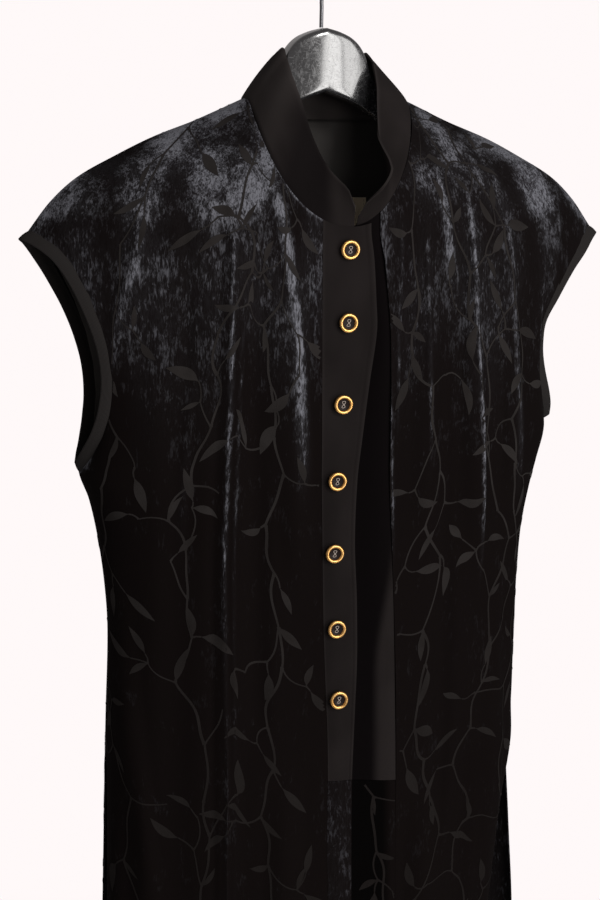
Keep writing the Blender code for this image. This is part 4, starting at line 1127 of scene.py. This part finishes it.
def underlap_points(row, t):
    """The left band's outer surface, from the left front's seam (0) back under the right band (1)."""
    row, t = np.broadcast_arrays(row, t)
    top_x = mix(OPENING[0].left_seam, OPENING[0].free_edge - UNDERLAP, t)
    drop = row_drop(top_of(LEFT, FRONT, np.abs(top_x)), row)
    seam_x = read(OPENING, "left_seam", drop) - SEAM
    x = mix(seam_x, read(OPENING, "free_edge", drop) - UNDERLAP, t)
    sink = mix(UNDERLAP_SINK_TOP, UNDERLAP_SINK, step((drop - NECK_FRONT_DROP) / UNDERLAP_SINK_OVER))
    off = middle_off(FRONT, np.abs(top_x), drop) - UNDERLAP_TUCK - sink * step(t / UNDERLAP_SINK_BY)
    off = off + fold_height(FRONT, seam_x, drop) * (1 - t)
    return np.stack([x, -off, NECK_Z - drop], -1)


def make_band(node, surface, rows, columns, wall, material, slot, relief=None, **tones):
    """A band's shell; relief and tones are functions of its points and of where they lie across it (0..1)."""
    places = np.linspace(0, 1, columns)
    points = surface(rows[:, None], places[None, :])
    normals = grid_normals(points, np.array([0.0, -1.0, 0.0]))
    across = np.broadcast_to(places[None, :], points.shape[:2])
    lift = wrinkle(points, 0.0006, 26.0)
    if relief is not None:
        lift = lift + relief(points, across)
    points = points + normals * lift[..., None]
    options = {key: tone(points, across) for key, tone in tones.items()}
    obj = shell(node + "_cloth", points, normals, wall, material, slot, node, **options)
    return obj, points, normals


def band_relief(points, across):
    """A stitched line beside the free edge, and small dimples where the buttons pull the band in."""
    lift = -0.0006 * np.exp(-(((across - 0.875) / 0.030) ** 2))
    for x, drop in zip(BUTTON_X, BUTTON_DROPS):
        away = np.hypot((points[..., 0] - x) / 0.015, (drop_of(points) - drop) / 0.012)
        lift = lift - 0.0009 * np.exp(-(away**2))
    return lift


def band_edges(points, across):
    """Both long edges are folded, and a little highlight is painted along them."""
    return EDGE_GLEAM * (np.exp(-(((1 - across) / 0.05) ** 2)) + np.exp(-((across / 0.04) ** 2)))


def band_shade(points, across):
    """Painted shade: the right band is painted a shade darker than the collar all over."""
    return np.full(across.shape, 0.20)


def underlap_shade(points, across):
    """Painted shade: the left band is painted nearly black where it lies deep beside the right one; lower
    down, a strip along its seam is left out of the painted shade.
    """
    lit = mix(-0.08, 0.25, step((drop_of(points) - 0.37) / 0.17))
    return step((across - lit) / 0.14 + 0.5)


def strip_shine(points, across):
    """Painted sheen over the right velvet strip's whole width, less further down."""
    return 0.24 * (1 - 0.6 * step((drop_of(points) - 0.70) / 0.40))


def strip_shade(points, across):
    """Painted shade over the left velvet strip, which lies deep beside the right one."""
    return 0.9 * step((across - 0.06) / 0.10)


def rows_above(end):
    """A panel's rows down to the end of a band."""
    return np.concatenate([PANEL_ROWS[PANEL_ROWS < end - 0.002], [end]])


def rows_below(end):
    """A panel's rows from the end of a band to the hem."""
    return np.concatenate([[end + 0.0006], PANEL_ROWS[PANEL_ROWS > end + 0.003]])


CREPE_BAND = (CREPE_WALL, CREPE, "crepe")
VELVET_BAND = (VELVET_WALL, VELVET, "velvet")
band_right, _, _ = make_band(
    "placket_right", band_points, rows_above(BAND_END_ROW), 41, *CREPE_BAND,
    relief=band_relief, shine=band_edges, shade=band_shade)
band_left, _, _ = make_band(
    "placket_left", underlap_points, rows_above(LEFT_END_ROW), 27, *CREPE_BAND, shade=underlap_shade)
strip_right, _, _ = make_band(
    "placket_right_lower", band_points, rows_below(BAND_END_ROW), 15, *VELVET_BAND, shine=strip_shine)
strip_left, strip_points, strip_normals = make_band(
    "placket_left_lower", underlap_points, rows_below(LEFT_END_ROW), 19, *VELVET_BAND, shade=strip_shade)
vines_strip = add_vines("vines_placket_left_lower", strip_points, strip_normals, 5)

# ---------------------------------------------------------------- the collar


def neckline(spacing=0.0035):
    """The neckline's points, from the right band round the back to the left band, evenly spaced."""
    t = np.linspace(0, 1, 60)
    right_band = band_points(np.zeros(60), t[::-1])
    left_band = underlap_points(np.zeros(60), t)
    near, behind = np.linspace(0, NECK_SHARE, 120), np.linspace(0, NECK_SHARE, 90)
    right_band = right_band[right_band[:, 0] < COLLAR_ENDS[0]]
    left_band = left_band[left_band[:, 0] > COLLAR_ENDS[1]]
    line = np.concatenate([
        [[COLLAR_ENDS[0], *right_band[0, 1:]]],
        right_band,
        body_points(RIGHT, FRONT, near, 0.0)[1:-1],
        body_points(RIGHT, BACK, behind[::-1], 0.0)[:-1],
        body_points(LEFT, BACK, behind, 0.0)[:-1],
        body_points(LEFT, FRONT, near[::-1], 0.0)[1:-1],
        left_band,
        [[COLLAR_ENDS[1], *left_band[-1, 1:]]],
    ])
    length = np.concatenate([[0], np.cumsum(np.linalg.norm(np.diff(line, axis=0), axis=1))])
    even = np.linspace(0, length[-1], int(length[-1] / spacing) + 1)
    line = np.stack([np.interp(even, length, line[:, k]) for k in range(3)], 1)
    return line, even


def make_collar():
    """The collar stands on the neckline and leans in, by angles round the neck."""
    line, along = neckline()
    levels = np.linspace(0, 1, 21)
    angle = np.degrees(np.arctan2(COLLAR_MEET_X - line[:, 0], -line[:, 1])) % 360
    angle[0], angle[-1] = 0.0, 360.0
    height = read(STANDS, "height", angle, "angle")
    lean = read(STANDS, "lean", angle, "angle")
    inward = unit(np.stack([-line[:, 0], -line[:, 1], np.zeros(len(line))], 1))
    points = np.zeros((len(line), len(levels), 3))
    for j, up in enumerate(levels):
        tuck = 0.0010 if j == 0 else 0.0
        points[:, j] = line + inward * (lean * up**COLLAR_CURVE + SEAM + tuck)[:, None]
        points[:, j, 2] += mix(2 * SEAM, height, up) if j else -0.0040
    outwards = np.repeat(-inward[:, None, :], len(levels), axis=1)
    normals = grid_normals(points, outwards)
    waves = wrinkle(points, 0.0014, 26.0) * np.minimum(1, levels * 4)[None, :]
    points = points + normals * waves[..., None]
    s, t = np.meshgrid(levels * 0.06, along)
    rim = np.broadcast_to(0.22 * np.exp(-(((1 - levels) / 0.05) ** 2))[None, :], points.shape[:2])
    # Angles run from the front over the wearer's right. A highlight is painted along the top edge, and
    # painted light on the outer side there and on the inner side behind; painted shade darkens the front on
    # the wearer's right.
    painted_light_outside = 0.14 * step((angle - 46) / 14) * (1 - step((angle - 110) / 30))
    painted_light_inside = 0.50 * step((angle - 100) / 30) * (1 - step((angle - 232) / 24))
    shine = np.stack([rim + painted_light_outside[:, None], rim + painted_light_inside[:, None]])
    # Painted shade over the collar's front on the wearer's right.
    painted_shade_front = 0.75 * step((angle - 10) / 12) * (1 - step((angle - 38) / 16))
    shade = np.broadcast_to(painted_shade_front[:, None], points.shape[:2])
    tones = {"uv": np.stack([s, t], -1), "shine": shine, "shade": shade}
    return shell("collar_cloth", points, normals, COLLAR_WALL, CREPE, "crepe", "collar", **tones)


collar = make_collar()

# ---------------------------------------------------------------- armhole bindings

BINDING_HALF = 0.0017  # half the folded strip's thickness
BINDING_MIDDLE = -0.0011  # its middle lies in the velvet wall's

def smooth_loop(points, count):
    """A closed line through the points, evenly spaced and smooth."""
    n = len(points)
    fine = []
    for i in range(n):
        p0, p1, p2, p3 = (points[(i + k) % n] for k in (-1, 0, 1, 2))
        for t in np.linspace(0, 1, 12, endpoint=False):
            fine.append(0.5 * (2 * p1 + (p2 - p0) * t + (2 * p0 - 5 * p1 + 4 * p2 - p3) * t**2
                               + (3 * p1 - p0 - 3 * p2 + p3) * t**3))
    fine = np.array(fine)
    closed = np.concatenate([fine, fine[:1]])
    length = np.concatenate([[0], np.cumsum(np.linalg.norm(np.diff(closed[:, :3], axis=0), axis=1))])
    even = np.linspace(0, length[-1], count, endpoint=False)
    return np.stack([np.interp(even, length, closed[:, k]) for k in range(points.shape[1])], 1), even


def make_binding(node, side):
    """A folded strip round the armhole: its section runs out along both its faces and round its fold."""
    table = ARMHOLES[side]
    middle_drop = (table[0].drop + table[-1].drop) / 2
    spots = []
    for row, face in [(r, FRONT) for r in table] + [(r, BACK) for r in reversed(table[1:-1])]:
        which = "front" if face == FRONT else "back"
        out, off, lean = (getattr(row, f"{which}_{k}") for k in ("out", "off", "lean"))
        towards = np.array([0.0, -face * off, row.drop - middle_drop])
        towards = towards / max(np.linalg.norm(towards), 1e-9)
        run = np.array([side, 0.0, 0.0]) + towards * lean
        spots.append([side * out, face * off, NECK_Z - row.drop, *(run / np.linalg.norm(run))])
    loop, along = smooth_loop(np.array(spots), 190)
    seam, run = loop[:, :3], unit(loop[:, 3:])
    forward = np.roll(seam, -1, axis=0) - np.roll(seam, 1, axis=0)
    normal = unit(np.cross(run, forward))
    towards_middle = np.array([side * 0.10, 0.0, NECK_Z - 0.22]) - seam
    normal = np.where(((normal * towards_middle).sum(1) > 0)[:, None], -normal, normal)
    half, flat_end = BINDING_HALF, BINDING_WIDTH - BINDING_HALF
    reach = (-0.0016, 0.0000, 0.0016, 0.0034, 0.0056, 0.0078, flat_end)
    puffs = [half * (0.70 + 0.30 * math.sin(math.pi * max(u, 0.0) / flat_end)) for u in reach]
    section = list(zip(reach, puffs))
    for turn in (60, 30, 0, -30, -60):
        a = math.radians(turn)
        section.append((flat_end + half * math.cos(a), half * 0.8 * math.sin(a)))
    section += [(u, -puff) for u, puff in reversed(list(zip(reach, puffs)))]
    points = np.stack([seam + run * u + normal * (v + BINDING_MIDDLE) for u, v in section], 1)
    uneven = np.array([0.0003 * noise.noise(Vector(tuple(p * 60))) for p in seam])
    points = points + (normal * uneven[:, None])[:, None, :]
    across = np.cumsum([0] + [math.dist(a, b) for a, b in zip(section, section[1:])])
    uv = np.stack(np.broadcast_arrays(across[None, :], along[:, None]), -1)
    mesh = grid_mesh(node + "_cloth", [points], ring_rows=True, ring_columns=True, uv=uv)
    close_mesh(mesh)
    return new_piece(node + "_cloth", mesh, JERSEY, "rib_jersey", node)


binding_right = make_binding("armhole_binding_right", RIGHT)
binding_left = make_binding("armhole_binding_left", LEFT)

# ---------------------------------------------------------------- lining and label

LINING_DEPTH = 0.0025
LINING_SEAM_DROP = 0.021  # the seam under its neck facing
LINING_ROWS = PANEL_ROWS[PANEL_ROWS < 1.285]
LINING_COLUMNS = BACK_COLUMNS[BACK_COLUMNS < 0.945]
LABEL_WALL = 0.0006
STITCH_LENGTH = 0.0022
STITCH_GAP = 0.0016
STITCH_THICK = 0.0004


def make_lining():
    """The lining lies inside the back's velvet, with a raised seam under its neck facing."""
    places = (LINING_COLUMNS[None, :], LINING_ROWS[:, None])
    points = mirror_join(*(body_points(side, BACK, *places) for side in (RIGHT, LEFT)))
    normals = grid_normals(points, np.array([0.0, 1.0, 0.3]))
    seam = np.exp(-(((drop_of(points) - LINING_SEAM_DROP) / 0.0022) ** 2))
    points = points - normals * (LINING_DEPTH - 0.0012 * seam)[..., None]
    shade = 0.50 * np.exp(-(((drop_of(points) - LINING_SEAM_DROP) / 0.0016) ** 2))
    wall = (LINING_WALL, LINING, "crepe")
    return shell("back_lining_cloth", points, normals, *wall, "back_lining", shade=shade), points


lining, lining_points = make_lining()


def make_label():
    """A bare tape that lies on the lining."""
    x_grid, drop_grid = lining_points[..., 0], drop_of(lining_points)
    columns, rows = 37, 19
    xs = LABEL_MIDDLE[0] + LABEL_SIZE[0] * np.linspace(-0.5, 0.5, columns)
    drops = LABEL_MIDDLE[1] + LABEL_SIZE[1] * np.linspace(-0.5, 0.5, rows)
    points = np.zeros((rows, columns, 3))
    for i, drop in enumerate(drops):
        r = int(np.argmin(np.abs(drop_grid[:, drop_grid.shape[1] // 2] - drop)))
        y = np.interp(xs, x_grid[r], lining_points[r, :, 1])
        points[i] = np.stack([xs, y, np.full(columns, NECK_Z - drop)], 1)
    normals = np.tile(np.array([0.0, -1.0, 0.0]), (rows, columns, 1))
    points = points + normals * (LINING_WALL + SEAM + 0.0009)
    return shell("label_tape", points, normals, LABEL_WALL, TAPE, "label_tape", "label"), points


label, label_points = make_label()


def make_stitches():
    """A row of short stitches at each end of the label: small flat-ended tubes that dip at both ends."""
    made = bmesh.new()
    outward = np.array([0.0, -1.0, 0.0])
    turns = [2 * math.pi * k / 6 for k in range(6)]
    for line in (label_points[:, 1], label_points[:, -2]):
        total = np.concatenate([[0], np.cumsum(np.linalg.norm(np.diff(line, axis=0), axis=1))])
        start = STITCH_GAP
        while start + STITCH_LENGTH < total[-1]:
            places = [start + STITCH_LENGTH * k for k in (0, 0.5, 1)]
            spots = [np.array([np.interp(place, total, line[:, a]) for a in range(3)]) for place in places]
            side = unit(np.cross(unit(spots[2] - spots[0]), outward))
            rings = []
            for p, lift in zip(spots, (0.0, STITCH_THICK * 0.9, 0.0)):
                ways = [side * math.cos(a) + outward * math.sin(a) for a in turns]
                rings.append([made.verts.new(p + outward * lift + way * STITCH_THICK / 2) for way in ways])
            for a, b in zip(rings, rings[1:]):
                for k in range(6):
                    made.faces.new((a[k], a[(k + 1) % 6], b[(k + 1) % 6], b[k]))
            made.faces.new(rings[0])
            made.faces.new(rings[-1])
            start += STITCH_LENGTH + STITCH_GAP
    bmesh.ops.recalc_face_normals(made, faces=made.faces)
    mesh = bpy.data.meshes.new("label_stitches")
    made.to_mesh(mesh)
    made.free()
    mesh.shade_smooth()
    return new_piece("label_stitches", mesh, LABEL_THREAD, "label_tape")


make_stitches()

# ---------------------------------------------------------------- buttons

HOLE_APART = 0.0038
RIM_CROWN = 0.0018  # how far the rim's rounded top stands over its slope
RIM_SIDES, CENTRE_SIDES, CENTRE_RINGS = 56, 48, 22
THREAD_HALF = 0.00036
BUTTON_LIFT = 0.0006


def turned(radius, height, sides):
    """A ring about Y, at a height towards the viewer; both may differ round it."""
    turns = np.linspace(0, 2 * math.pi, sides, endpoint=False)
    return np.stack([radius * np.cos(turns), -height * np.ones(sides), radius * np.sin(turns)], 1)


def make_rim(number, place):
    """A rounded gold rim: a slope up from its outer edge, a crown, and a step down into its middle."""
    crown, half = (BUTTON_R + BUTTON_BORE) / 2, (BUTTON_R - BUTTON_BORE) / 2
    profile = [(BUTTON_BORE, 0.0002), (BUTTON_R - 0.0008, 0.0002), (BUTTON_R - 0.0002, 0.0008)]
    for turn in range(0, 181, 15):
        a = math.radians(turn)
        profile.append((crown + half * math.cos(a), BUTTON_HIGH - RIM_CROWN + RIM_CROWN * math.sin(a)))
    points = np.stack([turned(radius, height, RIM_SIDES) for radius, height in profile])
    mesh = grid_mesh(f"button_{number}_rim", [points + np.array(place)], ring_rows=True, ring_columns=True)
    close_mesh(mesh)
    return new_piece(f"button_{number}_rim", mesh, GOLD, "gold_metal", f"button_rim_{number}")


def make_centre(number, place):
    """The button's middle: a dished disc with two holes sunk in it."""
    radius = BUTTON_BORE - 0.0002
    rings = [turned(radius, 0.0002, CENTRE_SIDES)]
    for i in range(CENTRE_RINGS + 1):
        r = radius * (1 - i / CENTRE_RINGS) + 1e-5
        x, _, z = turned(r, 0.0, CENTRE_SIDES).T
        height = BUTTON_CENTRE_HIGH - 0.0007 * (1 - (r / radius) ** 2)
        for hole in (-HOLE_APART / 2, HOLE_APART / 2):
            height = height - 0.0013 * (1 - step((np.hypot(x, z - hole) - 0.0007) / 0.0004))
        rings.append(turned(r, height, CENTRE_SIDES))
    mesh = grid_mesh(f"button_{number}_centre", [np.stack(rings) + np.array(place)], ring_columns=True)
    last = (CENTRE_RINGS + 1) * CENTRE_SIDES
    close_mesh(mesh, range(CENTRE_SIDES), range(last, last + CENTRE_SIDES))
    return new_piece(f"button_{number}_centre", mesh, BLACK, "black_plastic", f"button_centre_{number}")


def make_thread(number, place):
    """The sewing thread: a loop crossed over the two holes, leaning a little."""
    curve = bpy.data.curves.new(f"button_{number}_thread", "CURVE")
    curve.dimensions = "3D"
    curve.bevel_depth = THREAD_HALF
    curve.bevel_resolution = 2
    line = curve.splines.new("POLY")
    line.use_cyclic_u = True
    count = 32
    line.points.add(count - 1)
    for i in range(count):
        t = 2 * math.pi * i / count
        z = 0.0031 * math.sin(t)
        x = 0.0015 * math.sin(2 * t) + 0.12 * z
        y = -(BUTTON_CENTRE_HIGH - 0.0004 + 0.0003 * math.cos(2 * t))
        line.points[i].co = (x + place[0], y + place[1], z + place[2], 1.0)
    return new_piece(f"button_{number}_thread", curve, THREAD, "black_plastic")


for number, (x, drop) in enumerate(zip(BUTTON_X, BUTTON_DROPS), start=1):
    off = float(middle_off(FRONT, abs(x), drop)) + BAND_BULGE + SEAM + BUTTON_LIFT
    for make in (make_rim, make_centre, make_thread):
        make(number, (x, -off, NECK_Z - drop))

# ---------------------------------------------------------------- hanger and hook

HEAD_BOXY = 0.22  # how square the head's section is: 1 is an ellipse
HEAD_BOW = 0.30  # how much thinner the head is at its sides


def make_hanger():
    """The hanger, smooth through its solid's table: its head is flat-faced and bowed a little sideways."""
    tip = [0.2193, 0.2197, 0.2200]
    outs = np.concatenate([np.linspace(0, 0.060, 36), np.linspace(0.064, 0.2185, 40), tip])
    top, high, thick = (read(HANGER, column, outs, "out") for column in ("top", "high", "thick"))
    shrink = np.ones(len(outs))
    shrink[-3:] = (0.90, 0.72, 0.40)
    boxy = mix(HEAD_BOXY, 1.0, step((outs - 0.046) / 0.025))
    bow = 1 - HEAD_BOW * np.clip(outs / 0.044, 0, 1) ** 2 * (1 - step((outs - 0.044) / 0.03))
    turns = np.linspace(0, 2 * math.pi, 48, endpoint=False)
    rings = []
    order = [(-1, i) for i in range(len(outs) - 1, 0, -1)] + [(1, i) for i in range(len(outs))]
    sine, cosine = np.sin(turns), np.cos(turns)
    for sign, i in order:
        y = thick[i] / 2 * shrink[i] * bow[i] * np.sign(sine) * np.abs(sine) ** boxy[i]
        up = high[i] / 2 * shrink[i] * np.sign(cosine) * np.abs(cosine) ** boxy[i]
        z = NECK_Z - top[i] - high[i] / 2 + up
        rings.append(np.stack([np.full(len(turns), HANGER_X + sign * outs[i]), y, z], 1))
    mesh = grid_mesh("hanger_body", [np.array(rings)], ring_columns=True)
    last = (len(rings) - 1) * len(turns)
    close_mesh(mesh, range(len(turns)), range(last, last + len(turns)))
    new_piece("hanger_body", mesh, LACQUER, "black_lacquer", "hanger")


def make_hook():
    """A wire that rises from the hanger, swings aside and bends over to its open end."""
    middle, bend = -HOOK_R, HOOK_R + HOOK_WIRE / 2
    foot = NECK_Z - HANGER[0].top + SEAM
    spots = [(ROD_X, 0, mix(foot, HOOK_NECK_Z, i / 3)) for i in range(4)]
    for out, up in ((0.05, 0.006), (0.36, 0.0135), (0.74, 0.0225)):
        spots.append((mix(ROD_X, bend, out), 0, HOOK_NECK_Z + up))
    for i in range(29):
        turn = math.radians(mix(-15, 190, i / 28))
        spots.append((bend * math.cos(turn), 0, middle + bend * math.sin(turn)))
    curve = bpy.data.curves.new("hook_wire", "CURVE")
    curve.dimensions = "3D"
    curve.bevel_depth = HOOK_WIRE / 2
    curve.bevel_resolution = 5
    curve.use_fill_caps = True
    curve.resolution_u = 6
    line = curve.splines.new("BEZIER")
    line.bezier_points.add(len(spots) - 1)
    for spot, p in zip(line.bezier_points, spots):
        spot.co = p
        spot.handle_left_type = spot.handle_right_type = "AUTO"
    new_piece("hook_wire", curve, STEEL, "steel_wire", "hanger_hook")


make_hanger()
make_hook()

# ---------------------------------------------------------------- camera, floor and light

VIEW_YAW, VIEW_PITCH, VIEW_ROLL = math.radians(-17.5), math.radians(12.6), math.radians(1.1)
VIEW_TARGET = Vector((-0.037, -0.060, -0.468))
VIEW_DISTANCE = 1.6
VIEW_LENS = 69.0
FLOOR_Z = -1.62
FLOOR_HALF = 0.95
WALL_SEEN = (1.0, 0.945, 0.945)
WALL_LIGHT = (1.0, 0.95, 0.94)
WALL_LIGHT_STRENGTH = 0.30
MIDDLE = (0.0, 0.0, -0.30)
SHOULDERS = (0.0, 0.0, -0.20)

Lamp = namedtuple("Lamp", "name place aim size power colour reflected")
LAMPS = (  # a tall two-paned window to the right, a small high one, and two fills that leave no reflection
    Lamp("window_pane_near", (0.89, -2.31, -0.30), MIDDLE, (0.48, 2.0), 22.0, (1.0, 0.985, 0.97), True),
    Lamp("window_pane_far", (1.43, -2.02, -0.30), MIDDLE, (0.58, 2.0), 20.0, (1.0, 0.985, 0.97), True),
    Lamp("high_front", (0.32, -1.55, 0.50), SHOULDERS, (0.30, 0.30), 9.0, (1.0, 0.98, 0.96), True),
    Lamp("low_front", (0.02, -2.10, -0.05), SHOULDERS, (0.50, 0.50), 8.0, (1.0, 0.98, 0.96), False),
    Lamp("behind", (-0.90, 2.10, 0.20), (0.0, 0.0, -0.4), (1.2, 1.2), 10.0, (1.0, 0.97, 0.95), False),
)


def add_camera():
    """The photograph's view, from above and a little to the wearer's right."""
    cos_pitch = math.cos(VIEW_PITCH)
    back_way = Vector((math.sin(VIEW_YAW) * cos_pitch, -math.cos(VIEW_YAW) * cos_pitch, math.sin(VIEW_PITCH)))
    right = Vector((math.cos(VIEW_YAW), math.sin(VIEW_YAW), 0.0))
    up = right.cross(-back_way)
    rolled_right = right * math.cos(VIEW_ROLL) + up * math.sin(VIEW_ROLL)
    rolled_up = up * math.cos(VIEW_ROLL) - right * math.sin(VIEW_ROLL)
    data = bpy.data.cameras.new("camera")
    data.lens = VIEW_LENS
    data.sensor_width = 36.0
    data.clip_end = 100.0
    camera = linked("camera", data)
    turn = Matrix((rolled_right, rolled_up, back_way)).transposed().to_4x4()
    camera.matrix_world = Matrix.Translation(VIEW_TARGET + back_way * VIEW_DISTANCE) @ turn
    bpy.context.scene.camera = camera


def add_floor():
    """A small pale floor well below the hem."""
    made = bmesh.new()
    bmesh.ops.create_grid(made, x_segments=1, y_segments=1, size=FLOOR_HALF)
    mesh = bpy.data.meshes.new("floor")
    made.to_mesh(mesh)
    made.free()
    mesh.materials.append(Look("pale_floor", (0.90, 0.89, 0.89), 0.9, Specular_IOR_Level=0.1).material)
    floor = linked("floor", mesh)
    floor.location = (0, 0, FLOOR_Z)


def add_world():
    """A white room: pale to look at, and dimmer as a light."""
    world = bpy.data.worlds.new("studio")
    world.use_nodes = True
    tree = world.node_tree
    seen, dim = tree.nodes["Background"], tree.nodes.new("ShaderNodeBackground")
    for node, colour, strength in ((seen, WALL_SEEN, 1.0), (dim, WALL_LIGHT, WALL_LIGHT_STRENGTH)):
        node.inputs["Color"].default_value = (*colour, 1.0)
        node.inputs["Strength"].default_value = strength
    rays = tree.nodes.new("ShaderNodeLightPath")
    both = tree.nodes.new("ShaderNodeMixShader")
    tree.links.new(rays.outputs["Is Camera Ray"], both.inputs["Fac"])
    tree.links.new(dim.outputs[0], both.inputs[1])
    tree.links.new(seen.outputs[0], both.inputs[2])
    tree.links.new(both.outputs[0], tree.nodes["World Output"].inputs["Surface"])
    bpy.context.scene.world = world


def add_lamps():
    """Soft rectangular lamps, each turned towards its aim."""
    for lamp in LAMPS:
        data = bpy.data.lights.new(lamp.name, "AREA")
        data.shape = "RECTANGLE"
        data.size, data.size_y = lamp.size
        data.energy = lamp.power
        data.color = lamp.colour
        light = linked(lamp.name, data)
        light.location = lamp.place
        way = Vector(lamp.aim) - Vector(lamp.place)
        light.rotation_euler = way.to_track_quat("-Z", "Y").to_euler()
        light.visible_glossy = lamp.reflected


add_camera()
add_floor()
add_world()
add_lamps()
bpy.context.scene.view_settings.view_transform = "Standard"
